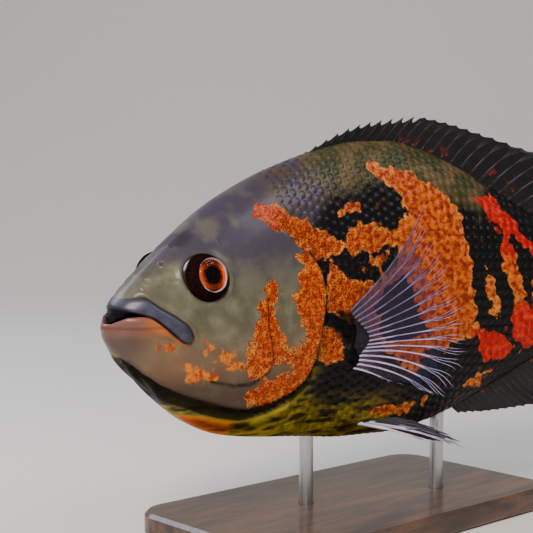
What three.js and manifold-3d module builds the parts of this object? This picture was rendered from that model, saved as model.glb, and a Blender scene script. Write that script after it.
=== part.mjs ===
// A life-size oscar fish, a deep-bodied cichlid, held above a flat base by two short rods.
// Millimetres, +Z up. The fish heads towards -X, its left side faces -Y, and it bends to its left.
// The origin is the middle of the base's underside.
import * as THREE from "three";
import { mergeVertices } from "three/addons/utils/BufferGeometryUtils.js";
import Module from "manifold-3d";

const wasm = await Module();
wasm.setup();

// Driving sizes of the fish, along the body from the snout.
const STANDARD_LENGTH = 250;
const SNOUT = -2;
const FIT_GAP = 0.3;
const NECK_START = 72;
const STEM_START = 204;

// Sizes of the stand.
const SNOUT_HEIGHT = 96;
const BASE_CENTRE_S = 122;
const BASE_SIZE = { length: 168, width: 92, thick: 10, corner: 12, chamfer: 1.5 };
const ROD_RADIUS = 3;
const ROD_STATIONS = { front: 98, rear: 163 };
const ROD_SOCKET = 7;

// Side view and top view of the body: [distance from the snout, height or half width].
const BACK = [
  [-2, -1.5], [2, 6.3], [8, 12.3], [18, 20.5], [31, 30.5], [46, 40.5], [62, 48.3], [80, 55.3],
  [100, 61.5], [122, 66], [138, 66.5], [152, 63.5], [168, 57], [190, 45], [210, 33.5],
  [226, 25.5], [238, 23], [250, 25],
];
const BELLY = [
  [-2, -9.5], [2, -15.2], [9, -23.5], [20, -33.5], [33, -43], [48, -49.8], [62, -52.8], [92, -56.5],
  [116, -59], [135, -59], [155, -55.5], [175, -48], [195, -37.5], [212, -29], [226, -24.5],
  [238, -23.5], [250, -26],
];
const HALF_WIDTH = [
  [-2, 4], [2, 8.2], [10, 12.6], [22, 16.6], [38, 20.2], [60, 22.8], [86, 24.5], [110, 24],
  [140, 21], [175, 15.5], [205, 10.5], [230, 7], [244, 5], [250, 3],
];
// How far the body's line turns to the fish's left, in degrees.
const TURN = [[0, 0], [NECK_START, 0], [125, -16], [190, -26], [250, -22], [330, -20]];

// Head sizes.
const COVER = { thick: 2.2, step: 2.7, fadeEnd: 106 };
const MOUTH = { corner: 26, halfWidth: 15.2, upperReach: 25, lowerReach: 26.3 };
const LIP = { upper: 2.3, lower: 2.5, thick: 1.9, around: 8, along: 20 };
const UPPER_LIP_Z = [
  [0, 2.4], [2, 3.2], [5, 3.9], [8.4, 3.2], [12, 0.75], [14.5, -1.2], [18, -3.9], [21, -6.2], [25, -9],
];
const LOWER_LIP_Z = [
  [-1, -3.9], [2, -2.6], [6.6, -2.5], [9.6, -3.4], [13.5, -5.7], [17.6, -8.3], [21, -10], [25, -11],
];
const EYE = { s: 32.1, n: 13.2, z: 13.2, radius: 9.4, iris: 6.4, pupil: 3.35, forward: 0, up: 14 };
const NOSTRIL = { s: 18.5, n: 6.4, z: 19.4, radius: 1.3 };

// A smooth curve through points that never overshoots them.
function curveThrough(points) {
  const n = points.length;
  const width = [];
  const slope = [];
  for (let i = 0; i < n - 1; i++) {
    width.push(points[i + 1][0] - points[i][0]);
    slope.push((points[i + 1][1] - points[i][1]) / width[i]);
  }
  const tangent = [slope[0]];
  for (let i = 1; i < n - 1; i++) {
    const [a, b] = [slope[i - 1], slope[i]];
    const w1 = 2 * width[i] + width[i - 1];
    const w2 = width[i] + 2 * width[i - 1];
    tangent.push(a * b <= 0 ? 0 : (w1 + w2) / (w1 / a + w2 / b));
  }
  tangent.push(slope[n - 2]);
  return (x) => {
    const t = THREE.MathUtils.clamp(x, points[0][0], points[n - 1][0]);
    let i = 0;
    while (i < n - 2 && t > points[i + 1][0]) i++;
    const u = (t - points[i][0]) / width[i];
    const [u2, u3] = [u * u, u * u * u];
    return (
      (2 * u3 - 3 * u2 + 1) * points[i][1] + (u3 - 2 * u2 + u) * width[i] * tangent[i] +
      (3 * u2 - 2 * u3) * points[i + 1][1] + (u3 - u2) * width[i] * tangent[i + 1]
    );
  };
}

const { smoothstep, lerp, degToRad } = THREE.MathUtils;
const backAt = curveThrough(BACK);
const bellyAt = curveThrough(BELLY);
const halfWidthAt = curveThrough(HALF_WIDTH);
const turnAt = curveThrough(TURN);

// The body's line in plan, one point for each millimetre from 40 mm ahead of the snout.
const LINE_FROM = -40;
const LINE = (() => {
  const points = [];
  let [x, y] = [0, 0];
  for (let s = 0; s <= 330; s++) {
    points[s - LINE_FROM] = [x, y];
    const angle = degToRad(turnAt(s + 0.5));
    x += Math.cos(angle);
    y += Math.sin(angle);
  }
  for (let s = LINE_FROM; s < 0; s++) points[s - LINE_FROM] = [s, 0];
  return points;
})();

// Where the body's own coordinates lie in the part's frame: s along it, n to its right, z up.
function place(s, n, z) {
  const at = THREE.MathUtils.clamp(s - LINE_FROM, 0, LINE.length - 1.001);
  const i = Math.floor(at);
  const [a, b] = [LINE[i], LINE[i + 1]];
  const angle = degToRad(turnAt(s));
  return new THREE.Vector3(
    lerp(a[0], b[0], at - i) - Math.sin(angle) * n - BASE_CENTRE[0],
    lerp(a[1], b[1], at - i) + Math.cos(angle) * n - BASE_CENTRE[1],
    z + SNOUT_HEIGHT,
  );
}
const BASE_CENTRE = LINE[BASE_CENTRE_S - LINE_FROM];

// Puts every vertex where the body's bend takes it.
function bend(geometry) {
  const p = geometry.attributes.position;
  for (let i = 0; i < p.count; i++) {
    const v = place(p.getX(i), p.getY(i), p.getZ(i));
    p.setXYZ(i, v.x, v.y, v.z);
  }
  return geometry;
}

function solid(geometry) {
  const g = geometry.clone();
  for (const name of Object.keys(g.attributes)) if (name !== "position") g.deleteAttribute(name);
  const merged = mergeVertices(g, 1e-4);
  return new wasm.Manifold(
    new wasm.Mesh({
      numProp: 3,
      vertProperties: new Float32Array(merged.attributes.position.array),
      triVerts: new Uint32Array(merged.index.array),
    }),
  );
}

// The same solid with its faces turned out, whichever way round its grid was laid.
function outward(geometry) {
  const made = solid(geometry);
  if (made.volume() > 0) return made;
  const g = geometry.clone();
  const order = Array.from(g.index.array);
  g.setIndex(order.map((_, i) => order[i - (i % 3) + (2 - (i % 3))]));
  return solid(g);
}

// The largest closed piece of a solid.
function largest(made) {
  return made.decompose().sort((a, b) => b.volume() - a.volume())[0];
}

function meshOf(name, made, material) {
  const data = largest(made).getMesh();
  const positions = new Float32Array(data.numVert * 3);
  for (let i = 0; i < data.numVert; i++) {
    positions.set(data.vertProperties.subarray(i * data.numProp, i * data.numProp + 3), i * 3);
  }
  const g = new THREE.BufferGeometry();
  g.setAttribute("position", new THREE.BufferAttribute(positions, 3));
  g.setIndex(new THREE.BufferAttribute(data.triVerts, 1));
  g.computeVertexNormals();
  const mesh = new THREE.Mesh(g, material);
  mesh.name = name;
  return mesh;
}

// A point on the skin at a station and an angle from the back, grown outwards by some millimetres.
// The core is the trunk and throat that carry on under the gill covers, set in by the cover's step.
function skinPoint(s, angle, { grow = 0, core = false } = {}) {
  const [top, low] = [backAt(s), bellyAt(s)];
  const middle = (top + low) / 2;
  const height = (top - low) / 2 + grow;
  const [c, k] = [Math.cos(angle), Math.sin(angle)];
  const pointed = c > 0 ? 1 + 0.2 * smoothstep(s, 50, 110) : 0.95;
  const side = smoothstep(Math.acos(c), degToRad(38), degToRad(66));
  const setIn = core ? COVER.step * side * (1 - smoothstep(s, 88, COVER.fadeEnd)) : 0;
  const width = Math.max(halfWidthAt(s) + grow - setIn, 0.5);
  return [s, -width * Math.sign(k) * Math.abs(k) ** pointed, middle + height * c];
}

// A closed skin from one end of the body to the other: a sphere whose rings become stations.
function skin(stations, around, options) {
  const g = new THREE.SphereGeometry(1, around, stations.length - 1);
  const p = g.attributes.position;
  const columns = around + 1;
  for (let row = 0; row < stations.length; row++) {
    for (let column = 0; column < columns; column++) {
      const s = stations[row];
      const angle = ((column % around) / around) * 2 * Math.PI;
      const end = row === 0 || row === stations.length - 1;
      const [x, y, z] = skinPoint(s, angle, options);
      const middle = (backAt(s) + bellyAt(s)) / 2;
      p.setXYZ(row * columns + column, x, end ? 0 : y, end ? middle : z);
    }
  }
  return outward(bend(g));
}

function stationsBetween(from, to, count, crowd = 1) {
  const list = [];
  for (let i = 0; i <= count; i++) list.push(lerp(from, to, (i / count) ** crowd));
  return list;
}

// A side-view outline as a wall that passes right through the fish, grown outwards by some millimetres.
function wall(outline, grow = 0, reach = 70) {
  const dense = [];
  outline.forEach((a, i) => {
    const b = outline[(i + 1) % outline.length];
    const length = Math.hypot(b[0] - a[0], b[1] - a[1]);
    const bent = Math.max(a[0], b[0]) > NECK_START;
    const steps = bent ? Math.max(1, Math.round(length / 4)) : 1;
    for (let k = 0; k < steps; k++) {
      dense.push([lerp(a[0], b[0], k / steps), lerp(a[1], b[1], k / steps)]);
    }
  });
  const turn = THREE.ShapeUtils.isClockWise(dense.map(([x, y]) => ({ x, y }))) ? -1 : 1;
  const n = dense.length;
  const points = dense.map((p, i) => {
    const [a, b] = [dense[(i + n - 1) % n], dense[(i + 1) % n]];
    const inward = new THREE.Vector2(p[0] - a[0], p[1] - a[1]).normalize();
    const onward = new THREE.Vector2(b[0] - p[0], b[1] - p[1]).normalize();
    const along = inward.clone().add(onward).normalize();
    const stretch = grow / Math.max(0.4, along.dot(onward));
    return new THREE.Vector2(p[0] + along.y * stretch * turn, p[1] - along.x * stretch * turn);
  });
  const g = new THREE.ExtrudeGeometry(new THREE.Shape(points), { depth: 2 * reach, bevelEnabled: false });
  g.translate(0, 0, -reach);
  g.rotateX(Math.PI / 2);
  return outward(bend(g));
}

// A closed roll that follows a path and is as thick as radiusAt says: a sphere drawn out.
function roll(pathAt, radiusAt, { around, along, grow = 0 }) {
  const g = new THREE.SphereGeometry(1, around, along);
  const p = g.attributes.position;
  const columns = around + 1;
  for (let row = 0; row <= along; row++) {
    const t = row / along;
    const [centre, out, up] = pathAt(t);
    const end = row === 0 || row === along;
    const [wide, tall] = radiusAt(t).map((r) => (end ? 0 : r + grow));
    for (let column = 0; column < columns; column++) {
      const angle = ((column % around) / around) * 2 * Math.PI;
      const v = centre.clone();
      v.addScaledVector(out, wide * Math.cos(angle)).addScaledVector(up, tall * Math.sin(angle));
      p.setXYZ(row * columns + column, v.x, v.y, v.z);
    }
  }
  return outward(bend(g));
}

// A lip's middle line, seen from above as half an ellipse from corner to corner, t from 0 to 1.
function lipPath(reach, heights) {
  const heightAt = curveThrough(heights);
  return (t) => {
    const angle = lerp(-Math.PI / 2, Math.PI / 2, t);
    const s = MOUTH.corner - reach * Math.cos(angle);
    const n = MOUTH.halfWidth * Math.sin(angle);
    const out = new THREE.Vector3(-Math.cos(angle), Math.sin(angle), 0);
    return [new THREE.Vector3(s, n, heightAt(s)), out, new THREE.Vector3(0, 0, 1)];
  };
}

// Outlines in side view. The head's rear edge follows the gill cover and then runs forward to the chin.
const GILL_EDGE = [
  [74, 24], [80.5, 20.5], [85, 15], [87.6, 6], [86.8, -3], [84.8, -12], [82.8, -22], [79.5, -29],
];
const JAW_EDGE = [
  [73, -34], [63, -37.5], [52, -39], [43, -37], [34, -34], [25, -30.5], [16, -26], [9, -21], [4, -16.5],
];
const UNDER_COVER = [
  [72, 24], [76, 19], [79, 14], [81, 6], [80.5, -3], [79, -12], [77, -21], [74.5, -27.5],
];
const AHEAD = -20;
const ABOVE = 90;
const BELOW = -90;
const CHIN = [[-1, -14], [AHEAD, -13], [AHEAD, ABOVE]];
const HEAD_OUTLINE = [[76, ABOVE], [75, 40], ...GILL_EDGE, ...JAW_EDGE, ...CHIN];
const INNER_OUTLINE = [[76, ABOVE], [75, 40], ...UNDER_COVER, ...JAW_EDGE, ...CHIN];
const COVER_OUTLINE = [
  ...GILL_EDGE, [73, -34], [63, -37.5], [60.5, -33], [62.5, -24], [60.8, -16], [59.3, -6], [58.6, 4],
  [60.5, 14], [66, 21.5],
];
const JAW_OUTLINE = [
  [AHEAD, -0.5], [0, -0.3], [5, 0.5], [9.5, -0.4], [13, -2.4], [16.3, -4.8], [20, -7.8], [24.5, -9.8],
  [30, -14], [34, -20], [35.5, -27], [33, -45], [AHEAD, -45],
];
const MOUTH_OUTLINE = [
  [AHEAD, 0.4], [0, 0.5], [4, 1.4], [8, 0.8], [11, -1.4], [8, -0.7], [4, -0.3], [0, -1.2], [AHEAD, -1.4],
];
const THROAT_OUTLINE = [[AHEAD, BELOW], [93, BELOW], [92, -60], [88, -44], [79, -30], [60, -20], [AHEAD, 0]];

const SHELL_STATIONS = [SNOUT, -1.2, 0.5, 3, ...stationsBetween(6.5, 112, 18)];
const CORE_STATIONS = [
  SNOUT, -1, 2, ...stationsBetween(7, 74, 9), ...stationsBetween(80, STANDARD_LENGTH, 26),
];
const AROUND = 32;

const PAINT = {
  skin: new THREE.MeshStandardMaterial({ color: "#5d5a52", roughness: 0.42, metalness: 0 }),
  throat: new THREE.MeshStandardMaterial({ color: "#8a7a22", roughness: 0.45, metalness: 0 }),
  flank: new THREE.MeshStandardMaterial({ color: "#8c3f14", roughness: 0.45, metalness: 0 }),
  lip: new THREE.MeshStandardMaterial({ color: "#55505c", roughness: 0.4, metalness: 0 }),
  fin: new THREE.MeshStandardMaterial({ color: "#3a3748", roughness: 0.4, metalness: 0 }),
  eye: new THREE.MeshStandardMaterial({ color: "#b5411a", roughness: 0.12, metalness: 0 }),
  wood: new THREE.MeshStandardMaterial({ color: "#4a2f1f", roughness: 0.5, metalness: 0 }),
  steel: new THREE.MeshStandardMaterial({ color: "#b8babd", roughness: 0.3, metalness: 1 }),
};

const shell = (grow) => skin(SHELL_STATIONS, AROUND, { grow });
const core = (grow) => skin(CORE_STATIONS, AROUND, { grow, core: true });

// The eye: turned on its own axis, with the iris sunk inside a raised rim and a domed pupil.
function eyeball(side, grow = 0) {
  const r = EYE.radius + grow;
  const rim = Math.asin(EYE.iris / EYE.radius);
  const profile = [new THREE.Vector2(0, -r)];
  for (let i = 1; i <= 7; i++) {
    const angle = lerp(0, Math.PI - rim, i / 7);
    profile.push(new THREE.Vector2(r * Math.sin(angle), -r * Math.cos(angle)));
  }
  const face = EYE.radius * Math.cos(rim) + grow;
  profile.push(new THREE.Vector2(EYE.iris - 0.5, face + 0.6));
  profile.push(new THREE.Vector2(EYE.iris - 1.2, face + 0.35));
  profile.push(new THREE.Vector2(EYE.pupil + 0.2, face + 0.7));
  profile.push(new THREE.Vector2(EYE.pupil - 0.6, face + 1.5));
  profile.push(new THREE.Vector2(0, face + 2.0));
  const g = new THREE.LatheGeometry(profile, 20);
  g.rotateX(side < 0 ? Math.PI : 0);
  g.rotateX(side * degToRad(EYE.up));
  g.rotateZ(side * degToRad(EYE.forward));
  g.translate(EYE.s, side * EYE.n, EYE.z);
  return outward(bend(g));
}

// Head pieces, each cut from the whole skin.
function headPieces() {
  const whole = shell(0).intersect(wall(HEAD_OUTLINE));
  const under = shell(-COVER.thick);
  const underDeeper = shell(-COVER.thick - FIT_GAP);
  const cover = whole.intersect(wall(COVER_OUTLINE)).subtract(under);
  const coverRoom = wall(COVER_OUTLINE, FIT_GAP).subtract(underDeeper);
  const inner = wall(INNER_OUTLINE);
  const mouth = wall(MOUTH_OUTLINE);

  const upperAt = lipPath(MOUTH.upperReach, UPPER_LIP_Z);
  const lowerAt = lipPath(MOUTH.lowerReach, LOWER_LIP_Z);
  const upperSize = (t) => lipSize(t, LIP.upper, 1.05);
  const lowerSize = (t) => lipSize(t, LIP.lower, 0.6);
  const upperLip = roll(upperAt, upperSize, LIP);
  const lowerLip = roll(lowerAt, lowerSize, LIP);
  const upperRoom = roll(upperAt, upperSize, { ...LIP, grow: FIT_GAP });
  const lowerRoom = roll(lowerAt, lowerSize, { ...LIP, grow: FIT_GAP });

  let head = whole.intersect(inner).subtract(coverRoom);
  head = head.subtract(wall(JAW_OUTLINE, FIT_GAP)).subtract(mouth);
  head = head.subtract(upperRoom).subtract(lowerRoom);
  let jaw = whole.intersect(wall(JAW_OUTLINE)).subtract(mouth);
  jaw = jaw.subtract(lowerRoom).subtract(upperRoom);
  for (const side of [-1, 1]) {
    head = head.subtract(eyeball(side, FIT_GAP));
    const pit = new THREE.SphereGeometry(NOSTRIL.radius, 10, 8);
    pit.translate(NOSTRIL.s, side * NOSTRIL.n, NOSTRIL.z);
    head = head.subtract(solid(bend(pit)));
  }
  const covers = cover.decompose().sort((a, b) => b.volume() - a.volume()).slice(0, 2);
  covers.sort((a, b) => a.boundingBox().min[1] - b.boundingBox().min[1]);
  const lower = lowerLip.subtract(upperRoom);
  return { head, jaw, covers, coverRoom, inner, upperLip, lowerLip: lower };
}

// A lip's half thickness and half height, which draw in to a round end at each corner.
function lipSize(t, tall, cornerShare) {
  const fromCorner = Math.min(t, 1 - t) * 2;
  const end = Math.sqrt(smoothstep(fromCorner, -0.02, 0.14));
  const share = lerp(cornerShare, 1, smoothstep(fromCorner, 0, 0.5)) * end;
  return [LIP.thick * end, tall * share];
}

// A thin fin made of rays: each ray is a ridge raised from the membrane between it and the next.
// rayAt(ray, v) gives the point on the fin's middle surface, and v runs from the root to the tip.
function fin({ rays, rows, rayAt, ridge = 0.75, membrane = 0.3, notch = 0.06 }) {
  const FLANK = 0.24;
  const columns = [];
  for (let k = 0; k < rays; k++) {
    if (k > 0) columns.push({ at: k - FLANK, thick: membrane, cut: notch });
    columns.push({ at: k, thick: ridge, cut: 0 });
    if (k < rays - 1) columns.push({ at: k + FLANK, thick: membrane, cut: notch });
  }
  const across = columns.length;
  const grid = new THREE.PlaneGeometry(1, 1, across - 1, rows);
  const face = Array.from(grid.index.array);
  const middle = columns.map((c) =>
    Array.from({ length: rows + 1 }, (_, j) => rayAt(c.at, (j / rows) * (1 - c.cut))),
  );
  const positions = [];
  for (const side of [1, -1]) {
    for (let j = 0; j <= rows; j++) {
      for (let i = 0; i < across; i++) {
        const here = middle[i][j];
        const [left, right] = [Math.max(i - 1, 0), Math.min(i + 1, across - 1)];
        const [low, high] = [Math.max(j - 1, 0), Math.min(j + 1, rows)];
        const sideways = middle[right][j].clone().sub(middle[left][j]);
        const along = middle[i][high].clone().sub(middle[i][low]);
        const normal = sideways.cross(along).normalize();
        const taper = lerp(1, 0.4, smoothstep(j / rows, 0.35, 1));
        const thick = Math.max(columns[i].thick * taper, 0.26) * side;
        const v = here.clone().addScaledVector(normal, thick);
        positions.push(v.x, v.y, v.z);
      }
    }
  }
  const back = across * (rows + 1);
  const index = [];
  for (let i = 0; i < face.length; i += 3) {
    index.push(face[i], face[i + 1], face[i + 2]);
    index.push(face[i] + back, face[i + 2] + back, face[i + 1] + back);
  }
  const rim = [];
  for (let i = 0; i < across - 1; i++) rim.push(i);
  for (let j = 0; j < rows; j++) rim.push(j * across + across - 1);
  for (let i = across - 1; i > 0; i--) rim.push(rows * across + i);
  for (let j = rows; j > 0; j--) rim.push(j * across);
  rim.forEach((a, i) => {
    const b = rim[(i + 1) % rim.length];
    index.push(a, b, a + back, b, b + back, a + back);
  });
  const g = new THREE.BufferGeometry();
  g.setAttribute("position", new THREE.Float32BufferAttribute(positions, 3));
  g.setIndex(index);
  return outward(g);
}

// A fin on the body's middle line. lean is the ray's angle back from straight out, in degrees.
function middleFin({ rays, rows, from, to, rootAt, outward, heightAt, leanAt, sag = 0, ...rest }) {
  const ROOT_DEPTH = 3;
  return fin({
    rays,
    rows,
    ...rest,
    rayAt(k, v) {
      const u = k / (rays - 1);
      const s = lerp(from, to, u);
      const length = (heightAt(u) + ROOT_DEPTH) * v;
      const lean = degToRad(leanAt(u) + 14 * v * v * u);
      const z = rootAt(s) + outward * (length * Math.cos(lean) - ROOT_DEPTH);
      return place(s + length * Math.sin(lean), sag * v * v * Math.sin(u * 9), z);
    },
  });
}

const dorsalHeight = curveThrough([
  [0, 1.5], [0.1, 5], [0.22, 10.5], [0.42, 15], [0.64, 19], [0.76, 25], [0.9, 37], [1, 27],
]);
const dorsalLean = curveThrough([[0, 50], [0.2, 36], [0.6, 34], [0.8, 46], [1, 66]]);
const analHeight = curveThrough([[0, 5], [0.2, 11], [0.4, 17], [0.65, 26], [0.88, 36], [1, 28]]);
const analLean = curveThrough([[0, 46], [0.4, 44], [0.8, 50], [1, 66]]);
const DORSAL = { from: 84, to: 208, rays: 27, spines: 14 };
const ANAL = { from: 168, to: 212, rays: 14 };

const CAUDAL = { rays: 14, length: 65, spread: 34, root: 244, rootShare: 0.84, cornerCut: 9 };

function caudalFin() {
  const { rays, root } = CAUDAL;
  return fin({
    rays,
    rows: 5,
    notch: 0.035,
    rayAt(k, v) {
      const u = (k / (rays - 1)) * 2 - 1;
      const z0 = (u > 0 ? backAt(root) : -bellyAt(root)) * CAUDAL.rootShare * u;
      const angle = degToRad(CAUDAL.spread * u);
      const reach = (CAUDAL.length - CAUDAL.cornerCut * Math.abs(u) ** 3) * v;
      const wave = 1.4 * Math.sin(v * 3 + u) * v;
      return place(root + reach * Math.cos(angle), wave, z0 + reach * Math.sin(angle) * 0.92);
    },
  });
}

// The paired breast fins, spread like a fan, and held out from the flank.
const PECTORAL = {
  rays: 13, rows: 5, rootTop: [98.5, -8.5], rootLow: [102.5, -26], rootDepth: 3,
  opening: 37, rightOpening: 26,
};
const pectoralLength = curveThrough([
  [0, 60], [0.1, 55], [0.4, 56], [0.6, 56], [0.8, 50], [0.94, 40], [1, 20],
]);
const pectoralAngle = curveThrough([
  [0, 51.5], [0.1, 43.4], [0.3, 28], [0.5, 13.5], [0.7, -1], [0.88, -16], [1, -17],
]);
const pectoralCurl = curveThrough([[0, 9], [0.3, 6], [0.55, -3], [0.85, -24], [1, -14]]);

function pectoralFin(side) {
  const opening = degToRad(side < 0 ? PECTORAL.opening : PECTORAL.rightOpening);
  return fin({
    rays: PECTORAL.rays,
    rows: PECTORAL.rows,
    ridge: 0.7,
    notch: 0.08,
    rayAt(k, v) {
      const u = k / (PECTORAL.rays - 1);
      const s0 = lerp(PECTORAL.rootTop[0], PECTORAL.rootLow[0], u);
      const z0 = lerp(PECTORAL.rootTop[1], PECTORAL.rootLow[1], u);
      const n0 = flankWidth(s0, z0) - PECTORAL.rootDepth;
      const length = (pectoralLength(u) + PECTORAL.rootDepth) * v;
      const angle = degToRad(pectoralAngle(u) + pectoralCurl(u) * (v - 1));
      const out = length * Math.cos(angle) * Math.sin(opening) + 5 * Math.sin(Math.PI * v) * v;
      const back = length * Math.cos(angle) * Math.cos(opening);
      return place(s0 + back, side * (n0 + out), z0 + length * Math.sin(angle));
    },
  });
}

// Half the core's width at a station and height.
function flankWidth(s, z) {
  const middle = (backAt(s) + bellyAt(s)) / 2;
  const share = THREE.MathUtils.clamp((2 * (z - middle)) / (backAt(s) - bellyAt(s)), -1, 1);
  return Math.abs(skinPoint(s, Math.acos(share), { core: true })[1]);
}

// The belly fins: a stout leading spine and five rays that lie back along the belly.
const PELVIC = { rays: 6, rows: 5, root: 112, rootEnd: 120, z: -51, rootDepth: 3.5 };
const pelvicLength = curveThrough([[0, 36], [0.2, 52], [0.4, 49], [0.7, 38], [1, 25]]);

function pelvicFin(side) {
  return fin({
    rays: PELVIC.rays,
    rows: PELVIC.rows,
    ridge: 0.9,
    notch: 0.09,
    rayAt(k, v) {
      const u = k / (PELVIC.rays - 1);
      const s0 = lerp(PELVIC.root, PELVIC.rootEnd, u);
      const n0 = flankWidth(s0, PELVIC.z) - PELVIC.rootDepth + 0.6;
      const length = (pelvicLength(u) + PELVIC.rootDepth) * v;
      const drop = degToRad(lerp(9, 2, u) + 7 * v);
      const z = PELVIC.z + 1.5 * u - length * Math.sin(drop);
      return place(s0 + length * Math.cos(drop), side * (n0 + length * 0.2 - 2.4 * v * u), z);
    },
  });
}

// The stand: a chamfered base and two rods that sink into the belly.
function standBase() {
  const { length, width, thick, corner, chamfer } = BASE_SIZE;
  const [x, y] = [length / 2 - chamfer, width / 2 - chamfer];
  const outline = new THREE.Shape();
  outline.moveTo(-x + corner, -y);
  outline.lineTo(x - corner, -y);
  outline.absarc(x - corner, -y + corner, corner, -Math.PI / 2, 0);
  outline.absarc(x - corner, y - corner, corner, 0, Math.PI / 2);
  outline.absarc(-x + corner, y - corner, corner, Math.PI / 2, Math.PI);
  outline.absarc(-x + corner, -y + corner, corner, Math.PI, 1.5 * Math.PI);
  const g = new THREE.ExtrudeGeometry(outline, {
    depth: thick - 2 * chamfer, bevelThickness: chamfer, bevelSize: chamfer, bevelSegments: 1,
    curveSegments: 6,
  });
  g.translate(0, 0, chamfer);
  return solid(g);
}

function standRod(s, grow = 0) {
  const foot = place(s, 0, 0);
  const low = BASE_SIZE.thick - 5 - grow;
  const high = SNOUT_HEIGHT + bellyAt(s) + ROD_SOCKET + grow;
  const g = new THREE.CylinderGeometry(ROD_RADIUS + grow, ROD_RADIUS + grow, high - low, 20);
  g.rotateX(Math.PI / 2);
  g.translate(foot.x, foot.y, (low + high) / 2);
  return solid(g);
}

const fish = new THREE.Group();
const { head, jaw, covers, coverRoom, inner, upperLip, lowerLip } = headPieces();
const rods = Object.values(ROD_STATIONS).map((s) => standRod(s));
const rodRooms = Object.values(ROD_STATIONS).map((s) => standRod(s, FIT_GAP));
const coreWhole = core(0);
const coreGrown = core(FIT_GAP);

const STEM_OUTLINE = [[STEM_START, BELOW], [330, BELOW], [330, ABOVE], [STEM_START, ABOVE]];
const headRoom = wall(INNER_OUTLINE, FIT_GAP);
const lipRoom = shell(FIT_GAP).intersect(wall([[AHEAD, BELOW], [3, BELOW], [3, 20], [AHEAD, 20]]));
let throat = coreWhole.intersect(wall(THROAT_OUTLINE)).subtract(headRoom);
throat = throat.subtract(coverRoom).subtract(lipRoom);
let trunk = coreWhole.subtract(wall(THROAT_OUTLINE, FIT_GAP)).subtract(headRoom).subtract(coverRoom);
trunk = trunk.subtract(wall(STEM_OUTLINE, FIT_GAP));
for (const room of rodRooms) trunk = trunk.subtract(room);
const stem = coreWhole.intersect(wall(STEM_OUTLINE));
let base = standBase();
for (const room of rodRooms) base = base.subtract(room);

const dorsal = middleFin({
  ...DORSAL, rows: 4, rootAt: backAt, outward: 1, heightAt: dorsalHeight, leanAt: dorsalLean, sag: 1,
  notch: 0.14,
}).subtract(coreGrown);
const anal = middleFin({
  ...ANAL, rows: 4, rootAt: bellyAt, outward: -1, heightAt: analHeight, leanAt: analLean, sag: 0.8,
}).subtract(coreGrown);
const caudal = caudalFin().subtract(coreGrown);

const add = (name, made, material) => fish.add(meshOf(name, made, material));
add("head", head, PAINT.skin);
add("lower_jaw", jaw, PAINT.skin);
add("upper_lip", upperLip, PAINT.lip);
add("lower_lip", lowerLip, PAINT.lip);
add("gill_cover_left", covers[0], PAINT.skin);
add("gill_cover_right", covers[1], PAINT.skin);
add("eye_left", eyeball(-1), PAINT.eye);
add("eye_right", eyeball(1), PAINT.eye);
add("throat", throat, PAINT.throat);
add("trunk", trunk, PAINT.flank);
add("tail_stem", stem, PAINT.flank);
add("dorsal_fin", dorsal, PAINT.fin);
add("anal_fin", anal, PAINT.fin);
add("tail_fin", caudal, PAINT.fin);
add("pectoral_fin_left", pectoralFin(-1).subtract(coreGrown), PAINT.fin);
add("pectoral_fin_right", pectoralFin(1).subtract(coreGrown), PAINT.fin);
add("pelvic_fin_left", pelvicFin(-1).subtract(coreGrown), PAINT.fin);
add("pelvic_fin_right", pelvicFin(1).subtract(coreGrown), PAINT.fin);
add("stand_base", base, PAINT.wood);
add("stand_rod_front", rods[0], PAINT.steel);
add("stand_rod_rear", rods[1], PAINT.steel);

export default fish;
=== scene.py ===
"""Dresses a life-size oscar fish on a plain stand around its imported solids.

The fish is laid out in its own millimetres: s runs along the body from the snout, n to its right
and z up from the snout's height. BodyForm bends that into the model's frame, in metres.
"""
import logging
import math
from dataclasses import dataclass
from enum import Enum
from functools import cached_property
from typing import Callable, Optional, Sequence, Union

import bmesh
import bpy
import numpy as np
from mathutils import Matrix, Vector


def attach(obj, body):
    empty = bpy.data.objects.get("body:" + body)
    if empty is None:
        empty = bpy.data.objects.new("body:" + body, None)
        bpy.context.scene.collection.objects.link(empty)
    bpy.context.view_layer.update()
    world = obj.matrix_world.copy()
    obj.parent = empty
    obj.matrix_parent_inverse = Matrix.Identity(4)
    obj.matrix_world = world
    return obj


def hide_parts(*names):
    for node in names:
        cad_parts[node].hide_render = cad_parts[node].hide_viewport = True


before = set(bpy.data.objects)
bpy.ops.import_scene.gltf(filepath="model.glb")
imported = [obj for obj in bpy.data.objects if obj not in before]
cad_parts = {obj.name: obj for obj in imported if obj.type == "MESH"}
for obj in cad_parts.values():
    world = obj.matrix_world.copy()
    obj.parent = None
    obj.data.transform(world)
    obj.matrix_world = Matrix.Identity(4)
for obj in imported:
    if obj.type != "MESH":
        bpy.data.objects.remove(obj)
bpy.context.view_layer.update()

# A millimetre in Blender's metres, and a metre in millimetres.
MM = 0.001
METRE = 1000.0
LOG = logging.getLogger("oscar")
Array = np.ndarray
Point = tuple[float, ...]
Band = tuple[float, float]
Inputs = dict[Union[str, int], object]


def linear(code: str) -> tuple[float, float, float, float]:
    """Turns an sRGB hex colour into the linear values that a shader takes."""
    channels = [int(code[i:i + 2], 16) / 255 for i in (1, 3, 5)]
    low = [c / 12.92 if c <= 0.04045 else ((c + 0.055) / 1.055) ** 2.4 for c in channels]
    return (low[0], low[1], low[2], 1.0)


def step(x: Array, low: float, high: float) -> Array:
    """A smooth rise from 0 at low to 1 at high."""
    t = np.clip((np.asarray(x, float) - low) / (high - low), 0.0, 1.0)
    return t * t * (3 - 2 * t)


def hump(x: Array, width: float) -> Array:
    """A bell curve, 1 at 0 and about a third at the width."""
    return np.exp(-(x / width) ** 2)


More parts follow.
